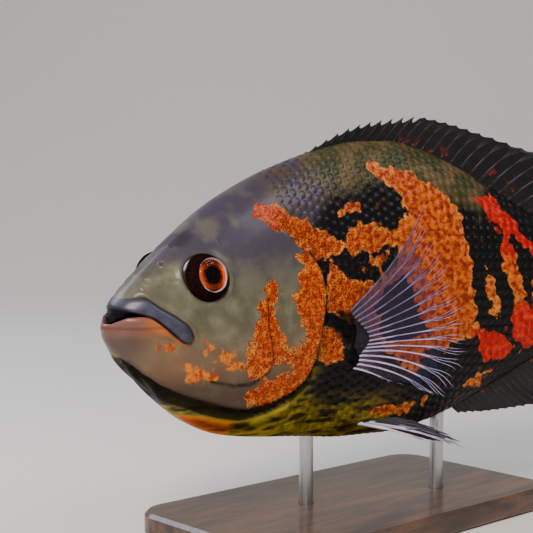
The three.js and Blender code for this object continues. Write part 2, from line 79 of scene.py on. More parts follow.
@dataclass(frozen=True)
class SmoothCurve:
    """A curve through points that never overshoots them, as the solids use."""

    points: tuple[Point, ...]

    def __call__(self, x: Array) -> Array:
        """The curve's value at each x, held level past its ends."""
        at, value = np.array(self.points, float).T
        width = np.diff(at)
        slope = np.diff(value) / width
        w1 = 2 * width[1:] + width[:-1]
        w2 = width[1:] + 2 * width[:-1]
        a, b = slope[:-1], slope[1:]
        turns = a * b <= 0
        safe_a, safe_b = np.where(turns, 1, a), np.where(turns, 1, b)
        inner = np.where(turns, 0, (w1 + w2) / (w1 / safe_a + w2 / safe_b))
        tangent = np.concatenate([slope[:1], inner, slope[-1:]])
        t = np.clip(np.asarray(x, float), at[0], at[-1])
        i = np.clip(np.searchsorted(at, t, side="right") - 1, 0, len(width) - 1)
        u = (t - at[i]) / width[i]
        rise = (2 * u**3 - 3 * u**2 + 1) * value[i] + (3 * u**2 - 2 * u**3) * value[i + 1]
        lean = (u**3 - 2 * u**2 + u) * tangent[i] + (u**3 - u**2) * tangent[i + 1]
        return rise + width[i] * lean


@dataclass(frozen=True)
class BodyForm:
    """The fish's outline in side and top view, and the bend of its body."""

    standard_length: float = 250.0
    snout_height: float = 96.0
    base_centre_s: int = 122
    cover_step: float = 2.7
    cover_fade: Band = (88.0, 106.0)
    back: SmoothCurve = SmoothCurve((
        (-2, -1.5), (2, 6.3), (8, 12.3), (18, 20.5), (31, 30.5), (46, 40.5), (62, 48.3), (80, 55.3),
        (100, 61.5), (122, 66), (138, 66.5), (152, 63.5), (168, 57), (190, 45), (210, 33.5),
        (226, 25.5), (238, 23), (250, 25)))
    belly: SmoothCurve = SmoothCurve((
        (-2, -9.5), (2, -15.2), (9, -23.5), (20, -33.5), (33, -43), (48, -49.8), (62, -52.8),
        (92, -56.5), (116, -59), (135, -59), (155, -55.5), (175, -48), (195, -37.5), (212, -29),
        (226, -24.5), (238, -23.5), (250, -26)))
    half_width: SmoothCurve = SmoothCurve((
        (-2, 4), (2, 8.2), (10, 12.6), (22, 16.6), (38, 20.2), (60, 22.8), (86, 24.5), (110, 24),
        (140, 21), (175, 15.5), (205, 10.5), (230, 7), (242, 4.5), (250, 0.9)))
    snout: float = -2.0
    snout_dome: float = 1.3
    turn: SmoothCurve = SmoothCurve(((0, 0), (72, 0), (125, -16), (190, -26), (250, -22), (330, -20)))

    def place(self, s: Array, n: Array, z: Array) -> Array:
        """Bends points of the body's own millimetres into the model's frame, in metres."""
        s, n, z = np.broadcast_arrays(*(np.asarray(v, float) for v in (s, n, z)))
        stations = np.arange(0, 331)
        heading = np.radians(self.turn(stations[:-1] + 0.5))
        x = np.concatenate([[0], np.cumsum(np.cos(heading))])
        y = np.concatenate([[0], np.cumsum(np.sin(heading))])
        x, y = x - x[self.base_centre_s], y - y[self.base_centre_s]
        angle = np.radians(self.turn(s))
        line_x = np.interp(s, stations, x) + np.minimum(s, 0)
        line_y = np.interp(s, stations, y)
        across = np.stack([-np.sin(angle) * n, np.cos(angle) * n, z + self.snout_height], -1)
        across[..., 0] += line_x
        across[..., 1] += line_y
        return across * MM

    def skin(self, s: Array, angle: Array, tuck: Array) -> Array:
        """Skin points, where angle runs from the back round the left side.

        Args:
            s: Distance from the snout.
            angle: Angle round the section, 0 at the back.
            tuck: How far the section is tucked under the gill cover, from 0 to 1.

        Returns:
            Points as (s, n, z), in millimetres.
        """
        top, low = self.back(s), self.belly(s)
        c, k = np.cos(angle), np.sin(angle)
        pointed = np.where(c > 0, 1 + 0.2 * step(s, 50, 110), 0.95)
        side = step(np.degrees(np.arccos(np.clip(c, -1, 1))), 38, 66)
        tucked = self.cover_step * side * (1 - step(s, *self.cover_fade)) * tuck
        width = np.maximum(self.half_width(s) - tucked, 0.5)
        shrink = np.sqrt(np.clip(1 - (self.snout - s).clip(0) / self.snout_dome, 0, 1))
        n = -width * np.sign(k) * np.abs(k) ** pointed * shrink
        return np.stack([s + 0 * n, n, (top + low) / 2 + (top - low) / 2 * c * shrink], -1)

    def flank(self, s: Array, z: Array) -> Array:
        """Half the trunk's width at a station and a height, under the gill cover's step."""
        top, low = self.back(s), self.belly(s)
        share = np.clip((2 * z - top - low) / (top - low), -1, 1)
        return np.abs(self.skin(s, np.arccos(share), np.ones_like(share))[..., 1])


BODY = BodyForm()


def line_distance(s: Array, z: Array, line: Sequence[Point]) -> tuple[Array, Array]:
    """Signed distance in side view to a line, positive on its left hand, and the share along it.

    Args:
        s: Distances from the snout.
        z: Heights.
        line: The line's points as (s, z).

    Returns:
        Signed distances in millimetres, and shares along the line from 0 to 1.
    """
    best = np.full(np.shape(s), 1e9)
    sign = np.ones(np.shape(s))
    share = np.zeros(np.shape(s))
    total = len(line) - 1
    for i in range(total):
        (ax, az), (bx, bz) = line[i][:2], line[i + 1][:2]
        dx, dz = bx - ax, bz - az
        t = np.clip(((s - ax) * dx + (z - az) * dz) / (dx * dx + dz * dz), 0, 1)
        distance = np.hypot(s - ax - t * dx, z - az - t * dz)
        nearer = distance < best
        best = np.where(nearer, distance, best)
        sign = np.where(nearer, np.sign((z - az) * dx - (s - ax) * dz + 1e-9), sign)
        share = np.where(nearer, (i + t) / total, share)
    return best * sign, share


def patch_depth(s: Array, z: Array, outline: Sequence[Point]) -> Array:
    """How deep each point lies inside a closed outline in side view; negative outside."""
    ring = list(outline) + [outline[0]]
    reach = np.abs(line_distance(s, z, ring)[0])
    inside = np.zeros(np.shape(s), bool)
    for (ax, az), (bx, bz) in zip(ring, ring[1:]):
        if az != bz:
            inside ^= ((az > z) != (bz > z)) & (s < ax + (z - az) * (bx - ax) / (bz - az))
    return np.where(inside, reach, -reach)


# Lines on the head and throat in side view, as stations and heights.
GILL_EDGE = (
    (71, 28), (74, 24), (80.5, 20.5), (85, 15), (87.6, 6), (86.8, -3), (84.8, -12), (82.8, -22),
    (79.5, -29))
JAW_EDGE = (
    (73, -34), (63, -37.5), (52, -39), (43, -37), (34, -34), (25, -30.5), (16, -26), (9, -21), (4, -16.5))
HEAD_EDGE = GILL_EDGE + JAW_EDGE
CHEEK_EDGE = (
    (57.6, 10.2), (56.8, 3), (57.4, -6.7), (59.4, -14.3), (60.5, -19.9), (59.1, -24), (52.3, -27.9),
    (44.4, -28.2), (36.5, -26.4), (31.8, -24.4))
THROAT_RIM = ((30, -36), (37, -38), (48, -41), (60.8, -42), (72.3, -38.8), (79.5, -32.5))
THROAT_FOLD = ((6, -19.5), (10.6, -24.5), (21, -35.5), (30, -43.5), (38, -48))
BREAST_PAD = (
    (91, -6), (95.5, -10.5), (101, -17), (101.5, -23), (105, -28), (112, -27), (112, -12), (104, -3),
    (96, -2))
# The middles of eye and nostril: station, distance from the middle plane, height.
EYE_AT = (32.1, 13.2, 13.2)
EYE_RADIUS = 9.4
NOSTRIL_AT = (18.4, 6.3, 19.2)
# Where each pore lies along and up the head, and its size beside the plain ones.
PORES = (
    (11.6, 12.6, 1.4), (8.6, 9.6, 1.0), (15, 10.2, 0.9), (23.5, 9, 1), (40, 26.5, 1), (25, 24.8, 1),
    (46, 12, 1), (43, 2, 1), (36, -4, 1))
# The solids of flesh that the one skin stands for.
FLESH_NODES = (
    "head", "lower_jaw", "upper_lip", "lower_lip", "gill_cover_left", "gill_cover_right", "throat",
    "trunk", "tail_stem")


@dataclass(frozen=True)
class Mouth:
    """The lips and the gap between them, as heights along the snout."""

    upper: SmoothCurve = SmoothCurve((
        (-2, 1.8), (0, 3.2), (2, 4.2), (5, 4.15), (8.4, 3.45), (12, 0.75), (14.5, -1.2), (18, -3.9),
        (21, -6.2), (25, -9)))
    lower: SmoothCurve = SmoothCurve((
        (-2, -3.95), (0, -2.8), (2, -2.2), (6.6, -2.35), (9.6, -3.1), (13.5, -5.6), (17.6, -8.5),
        (21, -10.4), (25, -11.5)))
    upper_tall: SmoothCurve = SmoothCurve((
        (-2, 3.2), (0, 2.8), (2, 2.5), (5, 2.65), (8.4, 3.1), (12, 2.85), (18, 3.4), (21, 3.5), (25, 2.6)))
    lower_tall: SmoothCurve = SmoothCurve((
        (-2, 1.55), (0, 1.8), (2, 2.2), (6.6, 2.65), (9.6, 2.6), (13.5, 2.1), (17.6, 1.1), (21, 0.5),
        (25, 0.3)))
    violet_low: SmoothCurve = SmoothCurve(
        ((-2, 2.4), (0.2, 3.3), (1.9, 2.9), (4.9, 1.8), (8.4, 0.3), (11, -1.6), (14, -4.5)))
    corner: float = 24.6

    def lips(self, s: Array, z: Array) -> tuple[Array, Array]:
        """How far through each lip a point lies: 0 on its middle line, 1 at its edge."""
        past = np.maximum(s - self.corner + 2.2, 0) / 2.2
        upper = np.hypot((z - self.upper(s)) / self.upper_tall(s), past)
        past_lower = np.maximum(s - self.corner + 5, 0) / 4
        lower = np.hypot((z - self.lower(s)) / self.lower_tall(s), past_lower)
        return upper, lower

    def gap(self, s: Array, z: Array) -> tuple[Array, Array]:
        """How far inside the open mouth a point lies, and the distance from its closed line."""
        high = self.upper(s) - self.upper_tall(s)
        low = self.lower(s) + self.lower_tall(s)
        inside = np.minimum(high - z, z - low)
        return inside, z - (high + low) / 2


MOUTH = Mouth()


def from_nostril(s: Array, n: Array, z: Array) -> Array:
    """Distances from the nostril on each point's own side."""
    return np.sqrt((s - NOSTRIL_AT[0])**2 + (np.abs(n) - NOSTRIL_AT[1])**2 + (z - NOSTRIL_AT[2])**2)


class HeadRelief:
    """The folds, edges and pits of the head, raised or sunk from the plain skin."""

    @staticmethod
    def mouth(s: Array, z: Array) -> Array:
        """How far the lips stand out, and the gap between them goes in."""
        upper, lower = MOUTH.lips(s, z)
        inside, middle = MOUTH.gap(s, z)
        before_corner = 1 - step(s, 22.5, 25)
        # The upper lip rolls out, and turns in below its violet front.
        roll = np.sqrt(np.clip(1 - np.abs(upper) ** 3, 0, 1))
        under = step(MOUTH.violet_low(s) - z, -0.6, 2.2) * (1 - step(s, 7, 11))
        out = (0.25 + 0.95 * step(s, 2, 12)) * roll - 1.5 * under * (upper < 1)
        # The lower lip is fuller above its middle line than below it.
        low_roll = np.clip(1 - lower**2, 0, 1) ** np.where(z < MOUTH.lower(s), 0.9, 0.5)
        out += (0.35 + 0.75 * step(s, 0, 7)) * low_roll * (1 - 0.6 * step(s, 15, 22))
        # A groove and a soft ridge follow the upper lip, and a groove the lower one.
        above = (upper - 1.1) * MOUTH.upper_tall(s)
        out -= 0.75 * hump(above, 0.4) * (z > MOUTH.upper(s)) * (1 - step(s, 26, 29)) * step(s, 5, 9)
        out += 0.4 * hump(above - 1.6, 1.2) * (z > MOUTH.upper(s)) * (1 - step(s, 24, 29)) * step(s, 5, 9)
        below = (lower - 1.05) * MOUTH.lower_tall(s)
        out -= 0.3 * hump(below, 0.5) * (z < MOUTH.lower(s)) * before_corner * step(s, 1, 4)
        # The mouth is open at the front, and closed along a line behind that.
        out -= 4.0 * step(inside, -0.05, 0.4) * (1 - step(s, 6, 10))
        return out - 1.3 * hump(middle, 0.35) * step(s, 5, 8) * (1 - step(s, 21, 23.5))

    @classmethod
    def height(cls, s: Array, n: Array, z: Array) -> Array:
        """How far the skin stands out at each point, in millimetres."""
        out = cls.mouth(s, z)
        edge = line_distance(s, z, HEAD_EDGE)[0]
        # The gill cover has a raised edge, and a slit behind it.
        near_edge = np.where(edge < 0, hump(edge + 0.6, 1.6), 0)
        out += 0.45 * near_edge - 0.9 * hump(edge - 0.7, 0.6)
        # A groove crosses the cheek, with a soft bank on each side.
        cheek, along = line_distance(s, z, CHEEK_EDGE)
        out -= 0.75 * hump(cheek - 0.35, 0.45) * step(along, 0, 0.1) * (1 - step(along, 0.93, 1))
        out += 0.7 * np.where(
            cheek < 0, hump(cheek + 0.8, 3.2), hump(cheek + 0.8, 0.9)) * step(along, 0, 0.12)
        # The throat has a thick rim and a fold.
        rim, along = line_distance(s, z, THROAT_RIM)
        out += (
            0.8 * hump(rim + 1.2, 1.0) * step(along, 0, 0.15)
            - 0.7 * hump(rim - 0.4, 0.5) * step(along, 0, 0.1))
        out -= 0.9 * hump(line_distance(s, z, THROAT_FOLD)[0], 0.6)
        # The eye lies in a socket with a rim, over a shallow hollow.
        from_eye = np.hypot(s - EYE_AT[0], (z - EYE_AT[2]) * 1.02)
        out += 0.7 * hump(from_eye - 9.6, 1.1) - 4.0 * (1 - step(from_eye, 7.2, 8.9))
        out -= 0.5 * hump(from_eye - 13.5, 2.4) * (z < EYE_AT[2])
        # A raised ring surrounds the nostril, and lower ones the pores.
        nostril = from_nostril(s, n, z)
        out += 0.4 * hump(nostril - 1.2, 0.45) - 1.1 * hump(nostril, 0.7)
        for at, up, size in PORES:
            reach = np.hypot(s - at, z - up) / size
            out += size * (0.12 * hump(reach - 0.75, 0.3) - 0.4 * hump(reach, 0.45)) * (np.abs(n) > 2)
        # The breast fin's pad stands out, and the nape swells a little.
        out += 2.3 * step(patch_depth(s, z, BREAST_PAD), -0.5, 4.5)
        nape = hump(s - 76, 14) * hump(z - 46, 9)
        return out + 0.35 * nape


class Markings:
    """The tiger pattern, painted shade and a painted glint, as smooth fields over the body that the skin
    and the scales share.
    """

    BODY_PATCHES: tuple[tuple[Point, ...], ...] = (
        ((59, 40), (61, 41.5), (66, 41), (72, 38), (74, 36), (79, 36), (83, 34), (84, 31), (90, 30),
         (94, 28), (98, 26), (103, 28), (105, 31), (112, 33), (121, 32), (126, 30), (131, 29), (134, 34),
         (138, 36), (135, 42), (134, 45), (129, 49), (124, 51), (120, 56), (127, 55.5), (136, 55.5),
         (146, 52.5), (152, 49), (162, 43), (165, 37), (168, 30), (169, 24), (172, 13), (173, 4),
         (175, -12), (178, -17), (164, -19), (156, -25), (152, -28), (144, -31), (135, -28), (125, -20),
         (112, -11), (99, -7), (90, -1), (90, 8), (89, 13), (97, 15), (103, 11), (109, 10), (116, 8),
         (125, 10), (131, 16), (132, 21), (126, 23), (120, 20), (111, 20), (106, 19), (101, 21),
         (96, 19), (93, 16), (89, 18), (83, 19), (78, 22), (76, 25), (72, 27), (68, 29), (64, 30),
         (62, 33), (59, 33), (58, 36)),
        ((108, 19), (111, 17), (111, 13), (108, 15)),
        ((115, 20), (119, 18), (119, 14), (116, 14)),
        ((120, 21), (123, 19), (122, 11), (119, 12)),
        ((124, 22), (127, 20), (125, 14), (122, 15)),
        ((102, 42), (103, 40), (110, 41), (112, 40), (112, 37), (108, 35), (106, 37), (100, 34.5),
         (100, 36.5), (104, 38.5)),
        ((86, -8), (95, -10), (102, -17), (101, -23), (94, -25), (87, -24)),
        ((188, 24), (192, 24), (195.5, 15), (200, 0), (198, -5), (195, -5), (192, 2), (188, 11)),
        ((178, 14), (180.5, 13), (183.5, 4), (187.5, -7), (186, -11), (184, -9), (180, -1)),
        ((203, 14), (207, 13), (209, 2), (208, -8), (205, -6)),
        ((213, 13), (218, 12), (220, 0), (217, -11), (214, -3)),
        ((118, -46), (130, -50), (142, -49), (146, -45), (134, -44)),
        ((148, -44), (153, -42), (152, -47), (149, -49)),
        ((172, -38), (178, -34), (184, -33), (182, -38), (175, -43)))
    RED_PATCHES: tuple[tuple[Point, ...], ...] = (
        ((176, 42), (185, 42.5), (191, 37), (196, 31), (206, 22), (214, 18), (213, 15), (203, 18),
         (197, 24), (190, 27), (184, 29), (180, 36)),
        ((193, -6), (204, -5), (207, -14), (205, -24), (200, -25), (194, -18)),
        ((175, -16), (184, -15), (193, -20), (194.5, -27.5), (187, -30), (178, -27)),
        ((212, -14), (219, -16), (226, -20), (218, -22)))
    HEAD_PATCHES: tuple[tuple[Point, ...], ...] = (
        ((59, 11.5), (62.5, 10.5), (63.5, 7), (61.5, 2), (62.5, -3), (63.5, -8), (66.5, -12), (66, -15),
         (70, -17), (73, -15.5), (77.5, -12), (75, -7), (71.5, -2), (69.5, 2), (71.5, 8), (72.5, 13),
         (75.5, 16), (74, 19), (71, 21), (80, 23), (88, 20), (92, 11), (92, 0), (89, -13), (86, -24),
         (83, -33), (76, -37), (70, -38), (62, -39), (53, -37), (48, -34), (51, -30.5), (59, -28),
         (64, -26), (69.5, -25.5), (70, -22.5), (65, -20.5), (62, -22.5), (59, -25), (54, -26.5),
         (48, -24.5), (46, -22.5), (44, -22.5), (39, -21.5), (35.5, -18), (35, -15.5), (40, -14.5),
         (44, -17.5), (48, -20), (48.5, -16), (49.5, -11), (50.5, -7), (50.5, -4), (52.5, -1), (51.5, 2),
         (53.5, 5), (56.5, 6.5), (57.5, 9.5)),
        ((29, -10.5), (32, -10.5), (37.5, -13.5), (34, -14.5), (31, -14.5)),
        ((12, -10), (15, -10), (18, -13), (14, -13.5)),
        ((22, -19), (28, -19.5), (34, -21.5), (35, -23.5), (31, -24.5), (26, -25.5), (24, -24.5)))

    @staticmethod
    def painted_shade(s: Array, n: Array, z: Array, throat: Array) -> Array:
        """Painted shade: how dark each point is painted for lying in the mouth, a groove, a fold, a socket
        or a shadow.
        """
        upper, _lower = MOUTH.lips(s, z)
        inside, middle = MOUTH.gap(s, z)
        fold = (upper - 1.1) * MOUTH.upper_tall(s)
        cheek, along = line_distance(s, z, CHEEK_EDGE)
        edge = line_distance(s, z, HEAD_EDGE)[0]
        under_jaw = step(-z, 22, 30)
        shadow = hump((edge - 1.1 - 1.3 * under_jaw) / (1.3 + 1.1 * under_jaw), 1.0)
        rim, rim_share = line_distance(s, z, THROAT_RIM)
        from_eye = np.hypot(s - EYE_AT[0], z - EYE_AT[2])
        return np.max([
            # Painted shade in the mouth's gap and closed line, in the groove over the lip and on the lip's
            # underside.
            step(inside, -0.15, 0.2) * (1 - step(s, 9, 12)),
            0.95 * hump(middle, 0.5) * step(s, 8, 11) * (1 - step(s, 22, 24.5)),
            0.95 * hump(fold, 0.4) * (z > MOUTH.upper(s)) * (1 - step(s, 27, 30)) * step(s, 5, 9),
            0.93 * step(MOUTH.violet_low(s) - z, -0.3, 0.5) * (upper < 1.05) * (1 - step(s, 8, 11)),
            # Painted shade in the cheek's groove, in the slit behind the gill cover and in the throat's
            # folds.
            0.75 * hump(cheek - 0.4, 0.45) * step(along, 0, 0.1) * (1 - step(along, 0.95, 1)),
            0.97 * np.minimum(1, 1.6 * shadow) * (s < 96) * (z < 22),
            0.7 * throat * hump(rim + 5.5, 1.6) * step(rim_share, 0, 0.3),
            0.8 * hump(line_distance(s, z, THROAT_FOLD)[0], 0.8),
            # Painted shade at the nostrils, on the skin under the breast fins' pads and in the eye sockets.
            0.8 * hump(from_nostril(s, n, z), 0.6),
            0.93 * step(patch_depth(s, z, BREAST_PAD), -0.6, 0.6),
            0.8 * (1 - step(from_eye, 8.3, 9.1)),
        ], axis=0)

    @classmethod
    def fields(cls, s: Array, n: Array, z: Array) -> dict[str, Array]:
        """Works out the two colour attributes that carry the pattern.

        Args:
            s: Distances from the snout.
            n: Distances to the fish's right, whose sign tells the side.
            z: Heights.

        Returns:
            marks: depth inside the orange in mm, olive back and painted throat glint, yellow belly, black
                trunk.
            tones: redness, violet lip, painted shade in hollows and folds, warm lower lip and chin.
        """
        # The right side's pattern is moved and waved, so that the two sides differ.
        right = n > 0
        s_mark = np.where(right, s + 2.5 * np.sin(z * 0.21 + 1) - 2.1 * (s < 90), s)
        z_mark = np.where(right, z + 2.0 * np.sin(s * 0.17 + 2), z)
        edge = line_distance(s, z, HEAD_EDGE)[0]

        def deepest(patches: tuple[tuple[Point, ...], ...]) -> Array:
            """Depth inside the nearest of several patches."""
            return np.max([patch_depth(s_mark, z_mark, outline) for outline in patches], axis=0)

        red_depth = deepest(cls.RED_PATCHES)
        body_depth = np.maximum(deepest(cls.BODY_PATCHES), red_depth)
        # The tail spot's ring joins the body's patches.
        ring = 2.1 - np.abs(np.hypot(s - 236, z - 8) - 8.5)
        orange = np.maximum(np.minimum(deepest(cls.HEAD_PATCHES), 0.8 - edge), np.maximum(body_depth, ring))
        # Black begins at a slanting line over the nape, and below it at the gill cover's edge.
        diagonal = step(s - 100 + (48 - z) * 0.9, -12, 12)
        high = step(z, 20, 30)
        behind = diagonal * high + step(edge, -0.5, 1.5) * (1 - high)
        top = BODY.back(s)
        olive = step(z - (top - 27), 0, 18) * step(s, 78, 108) * (1 - step(s, 165, 196))
        throat = step(edge, 0.2, 1.2) * (z < -12) * (1 - step(s, 78, 92))
        belly = (1 - step(z, -50, -34)) * step(s, 70, 90) * (1 - step(s, 120, 150))
        yellow = np.maximum(throat, 0.6 * belly)
        upper, lower = MOUTH.lips(s, z)
        rim, rim_share = line_distance(s, z, THROAT_RIM)
        # A painted glint along the throat's rim, carried in the olive channel.
        glint = throat * hump(rim + 1.2, 1.5) * step(rim_share, 0, 0.2)
        red = np.max([
            step(red_depth, -4, 0),
            0.5 * hump(s - 60, 8) * (z > 30),
            step(z, 10, 22) * (s > 186) * (z < 26),
            throat * hump(s - 34, 20) * (1 - step(z, -44, -36)),
        ], axis=0)
        lip = 1 - step(upper, 0.95, 1.05)
        chin = hump(np.hypot(s - 3, (z + 7) * 0.8), 13) * step(-z, 1, 5) * (edge < 0)
        low_lip = np.maximum(1 - step(lower, 0.9, 1.25), 0.85 * chin) * (1 - lip)
        marks = np.stack([orange, np.maximum(olive, glint), yellow, behind], -1)
        tones = np.stack([red, lip, cls.painted_shade(s, n, z, throat), low_lip], -1)
        return {"marks": marks, "tones": tones}


def set_inputs(tree: bpy.types.NodeTree, node: bpy.types.Node, inputs: Inputs) -> None:
    """Gives each named socket of a node its value, or a link to the shade that feeds it."""
    for key, value in inputs.items():
        if isinstance(value, Shade):
            tree.links.new(value.socket, node.inputs[key])
        else:
            node.inputs[key].default_value = value


def add_node(
    tree: bpy.types.NodeTree, kind: str, inputs: Optional[Inputs] = None, **settings: object,
) -> bpy.types.Node:
    """Adds a shader node.

    Args:
        tree: The material's node tree.
        kind: The node's type name.
        inputs: Each socket's key with its value, or the shade that feeds it.
        **settings: The node's own properties.

    Returns:
        The new node.
    """
    node = tree.nodes.new(kind)
    for name, value in settings.items():
        setattr(node, name, value)
    set_inputs(tree, node, inputs or {})
    return node


@dataclass(frozen=True)
class Shade:
    """A number or a colour that flows from one node of a material to the next."""

    tree: bpy.types.NodeTree
    socket: bpy.types.NodeSocket

    def maths(self, operation: str, first: object, second: object) -> "Shade":
        """Works out a sum of two numbers or shades."""
        node = add_node(self.tree, "ShaderNodeMath", {0: first, 1: second}, operation=operation)
        return Shade(self.tree, node.outputs[0])

    def __add__(self, other: object) -> "Shade":
        """This and another."""
        return self.maths("ADD", self, other)

    def __sub__(self, other: object) -> "Shade":
        """This without another."""
        return self.maths("SUBTRACT", self, other)

    def __rsub__(self, other: object) -> "Shade":
        """A number without this."""
        return self.maths("SUBTRACT", other, self)

    def __mul__(self, other: object) -> "Shade":
        """This times another."""
        return self.maths("MULTIPLY", self, other)

    def __abs__(self) -> "Shade":
        """This without its sign."""
        return self.maths("ABSOLUTE", self, 0)

    def most(self, other: object) -> "Shade":
        """The larger of this and another."""
        return self.maths("MAXIMUM", self, other)

    def moved(self, noise: "Shade", amount: float) -> "Shade":
        """This, moved up and down by noise."""
        return self + (noise - 0.5) * amount

    def ease(self, low: float, high: float) -> "Shade":
        """Maps low to high smoothly onto 0 to 1."""
        node = add_node(
            self.tree, "ShaderNodeMapRange", {"Value": self, "From Min": low, "From Max": high},
            interpolation_type="SMOOTHSTEP")
        return Shade(self.tree, node.outputs["Result"])

    def mix(self, none: object, full: object) -> "Shade":
        """Blends two colours, with this as the second one's share."""
        node = add_node(self.tree, "ShaderNodeMix", {0: self, 6: none, 7: full}, data_type="RGBA")
        return Shade(self.tree, node.outputs[2])


@dataclass
class Graph:
    """A material whose nodes feed one principled shader."""

    material: bpy.types.Material
    shader: bpy.types.Node

    def shade(
        self, kind: str, output: str, inputs: Optional[Inputs] = None, **settings: object,
    ) -> Shade:
        """Adds a node and gives one of its outputs."""
        tree = self.material.node_tree
        return Shade(tree, add_node(tree, kind, inputs, **settings).outputs[output])

    def feed(self, inputs: Inputs) -> None:
        """Gives the shader some of its inputs."""
        set_inputs(self.material.node_tree, self.shader, inputs)

    @cached_property
    def coords(self) -> Shade:
        """The piece's own coordinates."""
        return self.shade("ShaderNodeTexCoord", "Object")

    def stretch(self, x: float, y: float, z: float) -> Shade:
        """The piece's own coordinates, scaled along each axis."""
        return self.shade("ShaderNodeMapping", "Vector", {"Vector": self.coords, "Scale": (x, y, z)})

    def place(self, axis: str) -> Shade:
        """The piece's own X, Y or Z, in metres."""
        return self.shade("ShaderNodeSeparateXYZ", axis, {"Vector": self.coords})

    def attribute(self, name: str) -> list[Shade]:
        """The four values that the mesh holds under a name."""
        tree = self.material.node_tree
        node = add_node(tree, "ShaderNodeAttribute", attribute_name=name)
        colour = Shade(tree, node.outputs["Color"])
        parts = add_node(tree, "ShaderNodeSeparateColor", {"Color": colour})
        return [Shade(tree, socket) for socket in (*parts.outputs[:3], node.outputs["Alpha"])]

    def noise(
        self, size_mm: float, detail: float = 3.0, vector: Optional[Shade] = None, distortion: float = 0.0,
    ) -> Shade:
        """Cloudy noise whose lumps have a real size."""
        return self.shade("ShaderNodeTexNoise", "Fac", {
            "Vector": vector or self.coords, "Scale": 1 / (size_mm * MM), "Detail": detail,
            "Distortion": distortion})

    def cells(self, size_mm: float) -> Shade:
        """Round cells of a real size, 0 in their middles."""
        inputs = {"Vector": self.coords, "Scale": 1 / (size_mm * MM)}
        return self.shade("ShaderNodeTexVoronoi", "Distance", inputs)

    def spread(self, value: Shade, low: float, high: float) -> Shade:
        """Maps 0 to 1 onto low to high."""
        return self.shade("ShaderNodeMapRange", "Result", {"Value": value, "To Min": low, "To Max": high})

    def bump(self, height: Shade, strength: float, depth_mm: float, invert: bool = False) -> None:
        """Roughens the shaded surface by a height."""
        inputs = {"Height": height, "Strength": strength, "Distance": depth_mm * MM}
        self.feed({"Normal": self.shade("ShaderNodeBump", "Normal", inputs, invert=invert)})


@dataclass(frozen=True)
class Finish:
    """A surface finish: a principled shader whose colour, roughness and bump come from nodes."""

    name: str
    roughness: float = 0.4
    coat: float = 0.0

    def start(self) -> Graph:
        """An empty material with its shader wired to the output."""
        material = bpy.data.materials.new(self.name)
        material.use_nodes = True
        tree = material.node_tree
        tree.nodes.clear()
        inputs = {"Roughness": self.roughness, "Coat Weight": self.coat}
        shader = add_node(tree, "ShaderNodeBsdfPrincipled", inputs)
        add_node(tree, "ShaderNodeOutputMaterial", {"Surface": Shade(tree, shader.outputs["BSDF"])})
        return Graph(material, shader)


class SkinMap:
    """What the parts of the skin's pattern share: the mesh's fields, places on the fish and noises."""

    # Stations in metres, between which the jaw's soft smudges turn into firm patches.
    FIRM: Band = (-0.072, -0.084)
    # Stations in metres, behind which the patches lose their fine specks.
    REAR: Band = (-0.022, 0.004)

    def __init__(self, graph: Graph, speck_mm: float) -> None:
        """Adds the shared nodes."""
        self.graph = graph
        # The olive channel also carries the painted glint on the throat's rim.
        self.orange, self.olive, self.yellow, self.behind = graph.attribute("marks")
        # Of the tones, dark is painted shade in the mouth, folds, slits and sockets.
        self.red, self.lip, self.dark, self.low_lip = graph.attribute("tones")
        # Plate is painted shade that darkens each scale towards its rim.
        self.plate = graph.shade("ShaderNodeAttribute", "Fac", attribute_name="plate")
        self.station, self.height = graph.place("X"), graph.place("Z")
        self.stretched = graph.stretch(0.3, 0.3, 1.0)
        self.clouds, self.mottle, self.grain = graph.noise(17.0), graph.noise(8.0, 4.0), graph.noise(2.3)
        self.specks = graph.cells(speck_mm)
        self.soft = self.station.ease(*self.FIRM)
        self.rear = self.station.ease(*self.REAR)
        self.fine = 1.0 - self.rear * 0.75


